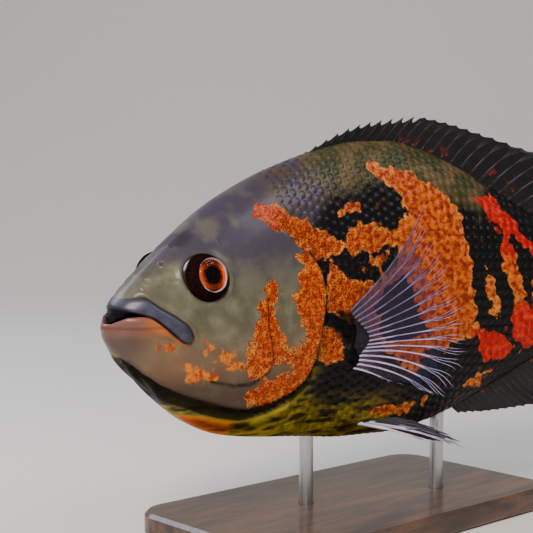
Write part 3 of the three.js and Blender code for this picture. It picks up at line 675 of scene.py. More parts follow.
@dataclass(frozen=True)
class WetSkin(Finish):
    """Slimy fish skin: a thin clear film over soft colour, broken by specks of pigment."""

    speck_mm: float = 0.78
    lobe_mm: float = 4.6
    head: str = "#504d3c"
    head_cool: str = "#3b3442"
    head_dark: str = "#241d24"
    cheek: str = "#6f6b53"
    nape: str = "#46392f"
    # Painted shade at the bottom of the jaw.
    earth_painted_shade: str = "#3a2110"
    earth: str = "#764a26"
    black: str = "#060405"
    olive: str = "#36371a"
    olive_pale: str = "#5a4a2c"
    yellow: str = "#a68f06"
    yellow_dark: str = "#2b2505"
    # Painted glint along the throat's rim.
    painted_glint: str = "#e6ca46"
    amber: str = "#cc6005"
    amber_dark: str = "#6b2a05"
    orange: str = "#a03005"
    orange_pit: str = "#7a2506"
    orange_rim: str = "#d98a30"
    bright: str = "#cb5e0a"
    red: str = "#a80a03"
    red_bright: str = "#d8300a"
    speck: str = "#3d160a"
    fleck: str = "#6b2d0c"
    violet: str = "#2d2938"
    violet_pale: str = "#403f52"
    lip_low: str = "#a35a22"
    lip_front: str = "#6e463c"
    lip_seam: str = "#4a2418"
    chin: str = "#6b4c2c"
    chin_front: str = "#4a3230"
    # Painted shade in the mouth, grooves, folds, slits, nostrils, sockets and under the breast fins' pads.
    fold: str = "#040303"
    # Painted shade at each scale's rim.
    scale_rim_shade: str = "#080506"
    # Heights in metres, between which one colour gives way to the next.
    cool_rise: Band = (0.102, 0.124)
    blotch_rise: Band = (0.098, 0.116)
    nape_rise: Band = (0.118, 0.135)
    jaw_fall: Band = (0.096, 0.062)
    earth_rise: Band = (0.066, 0.08)
    chin_fall: Band = (0.0915, 0.087)
    seam_height: float = 0.0921
    seam_width: Band = (0.0009, 0.0002)
    # Stations in metres, from the first to the second.
    nape_start: Band = (-0.075, -0.035)
    front_start: Band = (-0.109, -0.119)
    seam_start: Band = (-0.105, -0.112)
    chin_start: Band = (-0.102, -0.107)

    def ground(self, at: SkinMap) -> Shade:
        """The colours under the orange: head, nape, jaw with painted shade below, black trunk, olive back
        and yellow belly with a painted glint.
        """
        cool = linear(self.head_cool)
        noise = at.graph.noise
        base = at.mottle.ease(0.36, 0.76).mix(linear(self.head), linear(self.cheek))
        base = at.height.moved(at.clouds, 0.05).ease(*self.cool_rise).mix(base, cool)
        blotch = noise(13.0, 3.0, at.stretched).ease(0.56, 0.66) * at.height.ease(*self.blotch_rise)
        base = (blotch * 0.8).mix(base, linear(self.head_dark))
        base = (at.clouds.ease(0.52, 0.66) * 0.4).mix(base, linear(self.cheek))
        back = at.station.moved(at.clouds, 0.03).ease(*self.nape_start) * at.height.ease(*self.nape_rise)
        base = back.mix(base, at.mottle.ease(0.4, 0.62).mix(linear(self.nape), cool))
        # The jaw's warm brown darkens towards its bottom as painted shade.
        earth = at.height.ease(*self.earth_rise).mix(linear(self.earth_painted_shade), linear(self.earth))
        base = (at.height.moved(at.mottle, 0.02).ease(*self.jaw_fall) * 0.8).mix(base, earth)
        base = at.behind.moved(at.mottle, 0.5).ease(0.25, 0.75).mix(base, linear(self.black))
        green = noise(9.0, 5.0).ease(0.42, 0.62).mix(linear(self.olive), linear(self.olive_pale))
        base = at.olive.moved(noise(6.0), 1.1).ease(0.2, 0.8).mix(base, green)
        streaks = noise(3.0, 4.0, at.stretched)
        gold = streaks.ease(0.38, 0.6).mix(linear(self.yellow_dark), linear(self.yellow))
        ember = streaks.ease(0.35, 0.55).mix(linear(self.amber_dark), linear(self.amber))
        gold = at.red.moved(streaks, 0.9).ease(0.3, 0.7).mix(gold, ember)
        # A painted glint along the throat's rim, from the olive channel.
        gold = (at.olive * 0.9).mix(gold, linear(self.painted_glint))
        base = at.yellow.mix(base, gold)
        flecks = at.graph.cells(4.4).ease(0.34, 0.2) * noise(14.0).ease(0.5, 0.6) * at.rear * at.behind
        return (flecks * 0.7).mix(base, linear(self.fleck))

    def patches(self, at: SkinMap) -> tuple[Shade, Shade]:
        """Where the orange lies, with ragged scalloped edges, and its colours."""
        # Noise and round cells make the edges ragged; on the jaw the patches stay soft smudges.
        depth = at.orange.moved(at.graph.noise(4.2), 5.5)
        depth = depth.moved(at.graph.cells(self.lobe_mm), -4.2) + at.specks * -0.8
        patch = (depth * (1.0 - at.soft * 0.72) + at.soft * -0.2).ease(-0.6, -0.1)
        warm = at.grain.ease(0.4, 0.62).mix(linear(self.orange), linear(self.bright))
        warm = (at.grain.ease(0.47, 0.38) * at.rear * 0.85).mix(warm, linear(self.orange_pit))
        rim = depth.ease(2.2, 0.2) * at.grain.ease(0.35, 0.55)
        warm = (rim * 0.6).mix(warm, linear(self.orange_rim))
        warm = at.red.mix(warm, at.grain.ease(0.4, 0.7).mix(linear(self.red), linear(self.red_bright)))
        spots = (at.specks + at.graph.noise(2.6) * -0.22).ease(0.42, 0.22) * 0.85
        return patch, (spots * (1.0 - at.soft * 0.8) * at.fine).mix(warm, linear(self.speck))

    def lips(self, at: SkinMap, colour: Shade) -> Shade:
        """Lays the violet upper lip, and the warm lower lip with its seam and the chin, over a colour."""
        front = at.station.ease(*self.front_start)
        low = front.moved(at.mottle, 0.3).mix(linear(self.lip_low), linear(self.lip_front))
        seam = abs(at.height - self.seam_height).ease(*self.seam_width)
        seam = seam * at.station.ease(*self.seam_start)
        low = (seam * 0.45).mix(low, linear(self.lip_seam))
        below = at.height.ease(*self.chin_fall) * at.station.ease(*self.chin_start)
        low = below.mix(low, front.mix(linear(self.chin), linear(self.chin_front)))
        top = at.mottle.ease(0.4, 0.62).mix(linear(self.violet), linear(self.violet_pale))
        return at.lip.mix(at.low_lip.mix(colour, low), top)

    def build(self) -> bpy.types.Material:
        """Builds the shared material of the skin and of its scales."""
        graph = self.start()
        at = SkinMap(graph, self.speck_mm)
        patch, warm = self.patches(at)
        colour = self.lips(at, patch.mix(self.ground(at), warm))
        # Painted shade darkens the mouth, grooves, folds, slits and eye sockets.
        colour = at.dark.mix(colour, linear(self.fold))
        # Painted shade darkens each scale towards its rim.
        colour = (at.plate * 0.38).mix(colour, linear(self.scale_rim_shade))
        matt = (patch * 0.6).most(at.dark * 0.85).most(at.behind * 0.55).most(at.plate * 0.9)
        shine = 1.0 - matt
        rough = graph.spread(graph.noise(3.0), self.roughness - 0.08, self.roughness + 0.12)
        graph.feed({
            "Base Color": colour, "Specular IOR Level": shine * 0.45, "Coat Weight": shine * self.coat,
            "Roughness": rough, "Coat Roughness": 0.16, "IOR": 1.36})
        graph.bump(graph.noise(0.8, 2.0) + at.specks * patch * at.fine, 0.3, 0.12)
        return graph.material


class FinTone(Enum):
    """The looks of fin on this fish: clear breast fins, dark middle fins, pale-edged belly fins."""

    CLEAR = "clear"
    DARK = "dark"
    PALE = "pale"


@dataclass(frozen=True)
class RayBone(Finish):
    """Bony fin rays under thin skin: violet and pale by the root, darker and bluer outwards."""

    tone: FinTone = FinTone.CLEAR

    def build(self) -> bpy.types.Material:
        """Builds the rays' material, which reads the share along and across the fin."""
        graph = self.start()
        along, across = graph.attribute("along")[:2]
        if self.tone is FinTone.CLEAR:
            lit = across.ease(0.25, 0.7).mix(linear("#6b6288"), linear("#b0a0c8"))
            colour = along.ease(0.16, 0.26).mix(linear("#1a1520"), lit)
            colour = along.ease(0.5, 0.75).mix(colour, linear("#2f1c26"))
            lower = across.ease(0.6, 0.8) * along.ease(0.5, 0.8)
            colour = lower.mix(colour, linear("#a9c6ee"))
        elif self.tone is FinTone.PALE:
            tip = along.ease(0.3, 0.95).mix(linear("#ddd3e2"), linear("#77749c"))
            colour = across.ease(0.1, 0.35).mix(tip, linear("#1b1720"))
        else:
            colour = along.ease(0.2, 0.9).mix(linear("#0d0b0d"), linear("#1c181c"))
        graph.feed({"Base Color": colour})
        return graph.material


@dataclass(frozen=True)
class Membrane(Finish):
    """Fin membrane: a wet film between the rays, clear or full of dark pigment."""

    tone: FinTone = FinTone.CLEAR

    def build(self) -> bpy.types.Material:
        """Builds the membrane's material, with pigment in patches between the rays."""
        graph = self.start()
        along, _across, pigment, veil = graph.attribute("along")
        grain = graph.noise(4.0)
        if self.tone is FinTone.CLEAR:
            dark = (pigment + (grain - 0.5)).ease(0.36, 0.46)
            veil = veil * 0.55
            thick = dark.most(along.ease(0.5, 0.2).most(veil))
            film = veil.mix(linear("#4a3346"), linear("#332c48"))
            colour = dark.mix(film, linear("#070c28"))
            alpha = graph.spread(thick, 0.1, 0.82)
            graph.feed({"Specular IOR Level": 0.2, "Coat Weight": 0.04, "Alpha": alpha})
        else:
            low = graph.noise(6.0, 4.0).ease(0.58, 0.66) * along.ease(0.5, 0.2)
            colour = grain.ease(0.4, 0.65).mix(linear("#060506"), linear("#100d0f"))
            colour = low.mix(colour, linear("#8c1a08"))
            graph.feed({"Specular IOR Level": 0.3, "Alpha": 0.97})
        graph.feed({"Base Color": colour})
        return graph.material


@dataclass(frozen=True)
class FinPad(Finish):
    """The scaly pad at the root of a breast fin: blue-black skin with fine bumps."""

    bump_mm: float = 1.6

    def build(self) -> bpy.types.Material:
        """Builds the pad's material."""
        graph = self.start()
        cells = graph.cells(self.bump_mm)
        colour = cells.ease(0.2, 0.7).mix(linear("#1b1725"), linear("#060508"))
        graph.feed({"Base Color": colour, "Specular IOR Level": 0.2})
        graph.bump(cells, 0.4, 0.2, invert=True)
        return graph.material


@dataclass(frozen=True)
class EyeTissue(Finish):
    """The eyeball: a dark brown ball, an orange ring with a pale rim, and a black pupil."""

    pupil: float = 3.5
    iris: float = 5.9
    middle_height: float = 0.1105

    def build(self) -> bpy.types.Material:
        """Builds the eye's material, which reads the distance from the eye's axis in mm."""
        graph = self.start()
        radius, front = graph.attribute("along")[:2]
        streak = graph.noise(1.1, 4.0).ease(0.4, 0.64)
        ring = streak.mix(linear("#7c1f06"), linear("#2c0703"))
        middle = abs(graph.place("Z") - self.middle_height).ease(0.005, 0.002)
        glow = radius.ease(self.pupil + 0.5, self.iris - 0.6) * middle
        ring = glow.mix(ring, linear("#f2560e"))
        colour = radius.ease(self.pupil - 0.15, self.pupil + 0.15).mix(linear("#010101"), ring)
        colour = radius.ease(self.iris - 0.15, self.iris + 0.1).mix(colour, linear("#dcb8b0"))
        ball = streak.mix(linear("#140909"), linear("#1f0e0d"))
        colour = radius.ease(self.iris + 0.3, self.iris + 0.75).mix(colour, ball)
        wet = 1.0 - front
        graph.feed({
            "Base Color": front.mix(ball, colour), "Coat Weight": wet * self.coat,
            "Specular IOR Level": wet * 0.5})
        return graph.material


@dataclass(frozen=True)
class Cornea(Finish):
    """The clear dome over the iris, wet and very smooth, whose low IOR keeps the pupil black."""

    def build(self) -> bpy.types.Material:
        """Builds the clear material of the cornea."""
        graph = self.start()
        graph.feed({"Base Color": linear("#ffffff"), "Transmission Weight": 1.0, "IOR": 1.17})
        return graph.material


@dataclass(frozen=True)
class Walnut(Finish):
    """Walnut board, planed and lacquered: long dark grain under a satin film."""

    def build(self) -> bpy.types.Material:
        """Builds the stand base's wood, whose grain runs along X."""
        graph = self.start()
        grain = graph.noise(METRE, 7.0, graph.stretch(22.0, 160.0, 160.0), 0.9)
        pores = graph.noise(METRE, 2.0, graph.stretch(240.0, 2600.0, 2600.0))
        colour = grain.ease(0.3, 0.7).mix(linear("#2c1a10"), linear("#5f3f28"))
        graph.feed({"Base Color": pores.ease(0.6, 0.72).mix(colour, linear("#1d110a"))})
        graph.bump(pores, 0.15, 0.05)
        return graph.material


@dataclass(frozen=True)
class BrushedSteel(Finish):
    """Steel rod, drawn and brushed round: fine lines that spread the highlight."""

    def build(self) -> bpy.types.Material:
        """Builds the rods' steel."""
        graph = self.start()
        lines = graph.noise(METRE, 2.0, graph.stretch(300.0, 300.0, 4000.0))
        graph.feed({
            "Base Color": linear("#b8babd"), "Metallic": 1.0, "Roughness": graph.spread(lines, 0.22, 0.42)})
        return graph.material


class Mesher:
    """Makes pieces out of bmesh shapes whose vertices are moved to their places."""

    @staticmethod
    def ball(
        bm: bmesh.types.BMesh, around: int, rows: int, shape: Callable,
    ) -> tuple[Array, Array]:
        """Draws a sphere out into a closed body.

        Args:
            bm: The mesh to add to.
            around: Columns round it.
            rows: Rows from pole to pole.
            shape: Takes row and angle arrays and returns places in metres.

        Returns:
            The row and the angle of each new vertex.
        """
        made = bmesh.ops.create_uvsphere(bm, u_segments=around, v_segments=rows, radius=1.0)["verts"]
        at = np.array([v.co[:] for v in made])
        row = np.round(np.arccos(np.clip(at[:, 2], -1, 1)) / math.pi * rows)
        column = np.round(np.arctan2(at[:, 1], at[:, 0]) / (2 * math.pi) * around) % around
        angle = column / around * 2 * math.pi
        for vertex, co in zip(made, shape(row, angle)):
            vertex.co = co
        return row, angle

    @staticmethod
    def sheet(
        bm: bmesh.types.BMesh, columns: int, rows: int, shape: Callable,
    ) -> tuple[Array, Array]:
        """Lays a grid where shape puts it, and returns each vertex's shares across and along."""
        made = bmesh.ops.create_grid(bm, x_segments=columns, y_segments=rows, size=1.0)["verts"]
        at = np.array([v.co[:] for v in made])
        u, v = (at[:, 0] + 1) / 2, (at[:, 1] + 1) / 2
        for vertex, co in zip(made, shape(u, v)):
            vertex.co = co
        return u, v

    @staticmethod
    def item(name: str, bm: bmesh.types.BMesh, material: bpy.types.Material) -> bpy.types.Object:
        """Turns a mesh, which is freed, into a smooth-shaded object of the scene."""
        mesh = bpy.data.meshes.new(name)
        bm.to_mesh(mesh)
        bm.free()
        mesh.polygons.foreach_set("use_smooth", [True] * len(mesh.polygons))
        mesh.materials.append(material)
        item = bpy.data.objects.new(name, mesh)
        bpy.context.scene.collection.objects.link(item)
        return item

    @staticmethod
    def piece(
        name: str, bm: bmesh.types.BMesh, material: bpy.types.Material, slot: str,
        replaces: Sequence[str] = (), colours: Optional[dict[str, Array]] = None,
    ) -> bpy.types.Object:
        """Finishes a mesh as a piece of the fish that rides on the root.

        Args:
            name: The piece's name.
            bm: Its mesh, which is freed.
            material: Its material.
            slot: The record's material slot, which is not used.
            replaces: The nodes that it stands for.
            colours: Attributes of four values for each vertex.

        Returns:
            The new object.
        """
        bmesh.ops.recalc_face_normals(bm, faces=bm.faces)
        item = Mesher.item(name, bm, material)
        mesh = item.data
        for key, values in (colours or {}).items():
            layer = mesh.color_attributes.new(key, "FLOAT_COLOR", "POINT")
            layer.data.foreach_set("color", np.ascontiguousarray(values, dtype=np.float32).ravel())
        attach(item, "root")
        if replaces:
            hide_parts(*replaces)
        LOG.info("%s: %d faces", name, len(mesh.polygons))
        return item

    @staticmethod
    def tube(bm: bmesh.types.BMesh, path: Array, radii: Array, around: int = 6) -> Array:
        """Draws a closed tube along a path, and returns each new vertex's share along it."""
        tangent = np.gradient(path, axis=0)
        tangent /= np.linalg.norm(tangent, axis=1, keepdims=True)
        side = np.cross(tangent, (0.31, -0.52, 0.79))
        side /= np.linalg.norm(side, axis=1, keepdims=True)
        up = np.cross(side, tangent)
        rows = len(path) - 1

        def shape(row: Array, angle: Array) -> Array:
            """Puts each vertex on its ring, and the poles on the path."""
            i = row.astype(int)
            radius = np.where((i == 0) | (i == rows), 0, radii[i])[:, None]
            return path[i] + radius * (np.cos(angle)[:, None] * side[i] + np.sin(angle)[:, None] * up[i])

        row, _angle = Mesher.ball(bm, around, rows, shape)
        return row / rows


@dataclass(frozen=True)
class FishSkin:
    """The one skin over head, jaws, gill covers, trunk and tail stem."""

    around: int = 256
    head_rows: int = 210
    snout_rows: int = 16
    body_rows: int = 85
    head_end: float = 92.0

    def stations(self) -> Array:
        """Stations from snout to tail, close together at the snout and over the head."""
        t = np.linspace(0, 1, self.head_rows)
        head = BODY.snout + (self.head_end - BODY.snout) * (0.45 * t + 0.55 * t**1.7)
        dome = BODY.snout - BODY.snout_dome * (1 - np.linspace(0, 1, self.snout_rows + 1)[:-1] ** 2)
        body = np.linspace(self.head_end, BODY.standard_length, self.body_rows + 2)[1:]
        return np.concatenate([dome, head, body])

    @staticmethod
    def plain(s: Array, angle: Array) -> Array:
        """Skin points with the gill covers' step but without the fine relief."""
        flat = BODY.skin(s, angle, np.zeros_like(s))
        edge = line_distance(s, flat[..., 2], HEAD_EDGE)[0]
        return BODY.skin(s, angle, step(edge, -0.1, 0.7))

    @classmethod
    def relief(cls, s: Array, angle: Array, lift: Array) -> Array:
        """Skin points pushed out along the skin's own direction.

        Args:
            s: Distances from the snout.
            angle: Angles round the section.
            lift: How far to push each point, in millimetres.

        Returns:
            Points as (s, n, z), in millimetres.
        """
        # Two short steps that cross on the smooth skin give its outward direction.
        small = 0.02
        at = cls.plain(s, angle)
        smooth = BODY.skin(s, angle, np.zeros_like(s))
        ahead = np.where(s < BODY.snout, s + 0.1, np.minimum(s + 0.5, 250.4))
        along = BODY.skin(ahead, angle, np.zeros_like(s)) - smooth
        across = BODY.skin(
            s, angle + small, np.zeros_like(s)) - BODY.skin(s, angle - small, np.zeros_like(s))
        out = np.cross(across, along)
        out /= np.maximum(np.linalg.norm(out, axis=-1, keepdims=True), 1e-9)
        return at + out * lift[..., None]

    def build(self, material: bpy.types.Material) -> bpy.types.Object:
        """Builds the skin and colours it."""
        stations = self.stations()
        rows = len(stations) - 1
        bm = bmesh.new()

        def shape(row: Array, angle: Array) -> Array:
            """Puts each vertex on the relief of the skin, and each pole in the middle."""
            s = stations[row.astype(int)]
            at = self.plain(s, angle)
            pole = (row == 0) | (row == rows)
            points = self.relief(s, angle, HeadRelief.height(s, at[:, 1], at[:, 2]))
            middle = (BODY.back(s) + BODY.belly(s)) / 2
            points[row == 0, 0] = BODY.snout - BODY.snout_dome - 0.2
            points[pole, 1] = 0
            points[pole, 2] = middle[pole]
            return BODY.place(*points.T)

        row, angle = Mesher.ball(bm, self.around, rows, shape)
        flat = self.plain(stations[row.astype(int)], angle)
        return Mesher.piece("fish_skin", bm, material, "skin", FLESH_NODES, Markings.fields(*flat.T))


@dataclass(frozen=True)
class ScaleCoat:
    """Overlapping scales on the trunk and tail stem, each a low plate that rises to its rear edge."""

    pitch: float = 4.3
    first: float = 70.0
    last: float = 247.0
    relief: float = 0.45
    cells: int = 4
    flat: float = 0.84
    bake_patch: float = 0.003
    # Shares of the pitch: between rows, half of a scale's length and width, and its shift rearwards.
    row_share: float = 0.86
    half_length: float = 0.66
    half_width: float = 0.56
    shift: float = 0.1
    # Millimetres: how deep the plates start and their rims hang, and over how far they fade in.
    sunk: float = 0.17
    rim_drop: float = 0.24
    fade: float = 26.0
    skin_end: float = 249.5

    def roots(self) -> tuple[Array, Array, Array]:
        """Where each scale grows: its station, its angle, and the angle that a pitch takes up."""
        rng = np.random.default_rng(11)
        found = []
        # Scales in a row are a pitch apart, and every other row starts half a pitch on.
        for i, s in enumerate(np.arange(self.first, self.last, self.pitch * self.row_share)):
            ring = np.linspace(0, 2 * math.pi, 721)
            points = FishSkin.plain(np.full_like(ring, s), ring)
            arc = np.concatenate([[0], np.cumsum(np.linalg.norm(np.diff(points[:, 1:], axis=0), axis=1))])
            count = max(14, int(round(arc[-1] / self.pitch / 2)) * 2)
            goal = (np.arange(count) + 0.5 * (i % 2)) / count * arc[-1]
            for angle in np.interp(goal, arc, ring):
                z = FishSkin.plain(np.array([s]), np.array([angle]))[0, 2]
                edge = line_distance(np.array([s]), np.array([z]), HEAD_EDGE)[0][0]
                # The head is bare; over the nape the scales reach further forward.
                if edge > 1.5 or z > 30:
                    span = 0.5 * (np.interp(np.interp(angle, ring, arc) + self.pitch, arc, ring) - angle)
                    span = max(span, self.pitch / (2 * (BODY.back(s) - BODY.belly(s))))
                    found.append((s + rng.normal(0, 0.12), angle, span * 2))
        return tuple(np.array(found).T)

    def build(self, material: bpy.types.Material) -> bpy.types.Object:
        """Builds all scales as one joined piece with its bake map."""
        roots, angles, spans = self.roots()
        bm = bmesh.new()
        grid = bmesh.ops.create_grid(bm, x_segments=self.cells, y_segments=self.cells, size=1.0)["verts"]
        i, j = np.array([v.co[:2] for v in grid]).T
        for _ in range(len(roots) - 1):
            bmesh.ops.create_grid(bm, x_segments=self.cells, y_segments=self.cells, size=1.0)
        # The grid's outer ring becomes a rim that hangs down, and its corners are rounded off.
        rim = np.maximum(np.abs(i), np.abs(j)) > 0.99
        i, j = (np.sign(v) * np.interp(np.abs(v), (0, 0.5, 1), (0, self.flat, 1)) for v in (i, j))
        x = i * np.sqrt(1 - j**2 / 2)
        y = j * np.sqrt(1 - i**2 / 2)
        s = roots[:, None] + (x * self.half_length + self.shift)[None] * self.pitch
        angle = angles[:, None] + (y * self.half_width)[None] * spans[:, None]
        height = self.relief * (0.5 * (x + 1)) - self.sunk - np.where(rim, self.rim_drop, 0)
        fade = step(roots, self.first, self.first + self.fade)[:, None]
        s, angle = np.minimum(s, self.skin_end).ravel(), angle.ravel()
        plain = FishSkin.plain(s, angle)
        lobe = HeadRelief.height(s, plain[:, 1], plain[:, 2]).clip(0, None)
        lift = (height[None] * (0.35 + 0.65 * fade)).ravel() + lobe
        for vertex, co in zip(bm.verts, BODY.place(*FishSkin.relief(s, angle, lift).T)):
            vertex.co = co
        bake = bm.loops.layers.uv.new("OFBake")
        per_scale = len(grid)
        bm.verts.index_update()
        # Each scale has its own small square in the bake map, laid out by where it grows.
        root_uv = np.stack([roots / 260, (angles / (2 * math.pi)) % 1 * 0.98 + 0.01], -1)
        for face in bm.faces:
            for loop in face.loops:
                scale, corner = divmod(loop.vert.index, per_scale)
                loop[bake].uv = root_uv[scale] + np.array((x[corner], y[corner])) * self.bake_patch / 2
        fields = Markings.fields(*plain.T)
        # Painted shade darkens each scale towards its rim, most at the rear.
        shade = np.tile(step(np.hypot(x, y), 0.75, 1.0) * step(x, -0.2, 0.6), len(roots))
        fields["plate"] = np.stack([shade, shade, shade, shade], -1)
        return Mesher.piece("scales", bm, material, "scaled_skin", (), fields)


@dataclass(frozen=True)
class Fin:
    """A fin of rays with a membrane between them.

    ray_at takes the share across the fin and the share along a ray, and gives places in metres.
    """

    name: str
    node: str
    rays: int
    ray_at: Callable[[Array, Array], Array]
    tone: FinTone = FinTone.DARK
    root_radius: float = 0.62
    tip_radius: float = 0.1
    branches: int = 3
    branch_from: float = 0.55
    spines: int = 0
    pad: float = 0.0
    pad_rows: int = 20
    pad_mm: float = 2.6
    film_mm: float = 0.16
    edge: float = 0.9
    notch: float = 0.05
    spine_notch: float = 0.1

    def build(
        self, ray_finish: bpy.types.Material, film: bpy.types.Material, pad_skin: bpy.types.Material,
    ) -> None:
        """Builds the rays, the membrane and the pad at the root."""
        self.build_rays(ray_finish)
        self.build_membrane(film)
        if self.pad:
            self.build_pad(pad_skin)

    def build_pad(self, skin: bpy.types.Material) -> None:
        """Builds the fleshy pad that the rays grow out of."""
        bm = bmesh.new()
        small = 0.01

        def shape(row: Array, angle: Array) -> Array:
            """Wraps the pad round the fin's root, thick in the middle and thin at its edge."""
            share = row / self.pad_rows
            wide = np.sqrt(np.clip(1 - share**3, 0, 1))
            u = 0.47 + 0.55 * np.cos(angle) * wide
            v = self.pad * share * (1 - 0.25 * np.cos(angle) ** 2)
            across = self.ray_at(u + small, v + 0.02) - self.ray_at(u - small, v + 0.02)
            along = self.ray_at(u, v + 0.03) - self.ray_at(u, v + 0.01)
            out = np.cross(across, along)
            out /= np.maximum(np.linalg.norm(out, axis=-1, keepdims=True), 1e-12)
            thick = self.pad_mm * wide * np.sin(angle) * (1 - 0.45 * share)
            return self.ray_at(u, v) + out * thick[:, None] * MM

        Mesher.ball(bm, 2 * self.pad_rows, self.pad_rows, shape)
        Mesher.piece(f"{self.name}_pad", bm, skin, "fin")

    def build_rays(self, finish: bpy.types.Material) -> None:
        """Builds the spines and the branching rays, joined as one piece."""
        bm = bmesh.new()
        v = np.linspace(0, 1, 17)
        shares = []
        for k in range(self.rays):
            u = k / (self.rays - 1)
            count = 1 if k < self.spines or self.branches == 1 else self.branches
            # The branches of a ray leave it at branch_from, and end shorter on its outside.
            for b in range(count):
                aside = (b - (count - 1) / 2) * 0.62 / (self.rays - 1) / max(count - 1, 1)
                across = np.clip(u + aside * step(v, self.branch_from, 1.05), 0, 1)
                reach = v * (1 - 0.05 * abs(b - (count - 1) / 2))
                path = self.ray_at(across, reach)
                thin = self.root_radius * (1 - 0.8 * v) / (1 + 0.35 * (count - 1) * step(v, 0.4, 0.7))
                along = Mesher.tube(bm, path, np.maximum(thin, self.tip_radius) * MM)
                shares.append(np.stack([along, 0 * along + u, 0 * along, 0 * along + 1], -1))
        Mesher.piece(f"{self.name}_rays", bm, finish, "fin", [self.node], {"along": np.concatenate(shares)})

    def build_membrane(self, film: bpy.types.Material) -> None:
        """Builds the thin film, with its margin drawn in between the rays."""
        bm = bmesh.new()
        columns = (self.rays - 1) * 6
        spine_share = (self.spines - 0.5) / (self.rays - 1)

        def shape(u: Array, v: Array) -> Array:
            """Puts the film between the rays, and draws its margin in."""
            between = np.abs(np.sin(u * (self.rays - 1) * math.pi))
            cut = np.where(u < spine_share, self.spine_notch, self.notch)
            return self.ray_at(u, v * (self.edge - cut * between))

        u, v = Mesher.sheet(bm, columns, 14, shape)
        bmesh.ops.solidify(
            bm, geom=list(bm.faces) + list(bm.edges) + list(bm.verts), thickness=self.film_mm * MM)
        patch = hump(v - 0.62, 0.2) * (1 - step(u, 0.5, 0.66)) * step(u, 0.04, 0.16)
        patch = np.maximum(patch, hump(v - 0.95, 0.14) * step(u, 0.62, 0.72))
        veil = (1 - step(u, 0.1, 0.36)) * (1 - 0.5 * step(v, 0.8, 1))
        colour = np.stack([v, u, patch, veil], -1)
        doubled = np.concatenate([colour, colour])[:len(bm.verts)]
        Mesher.piece(f"{self.name}_film", bm, film, "fin", (), {"along": doubled})


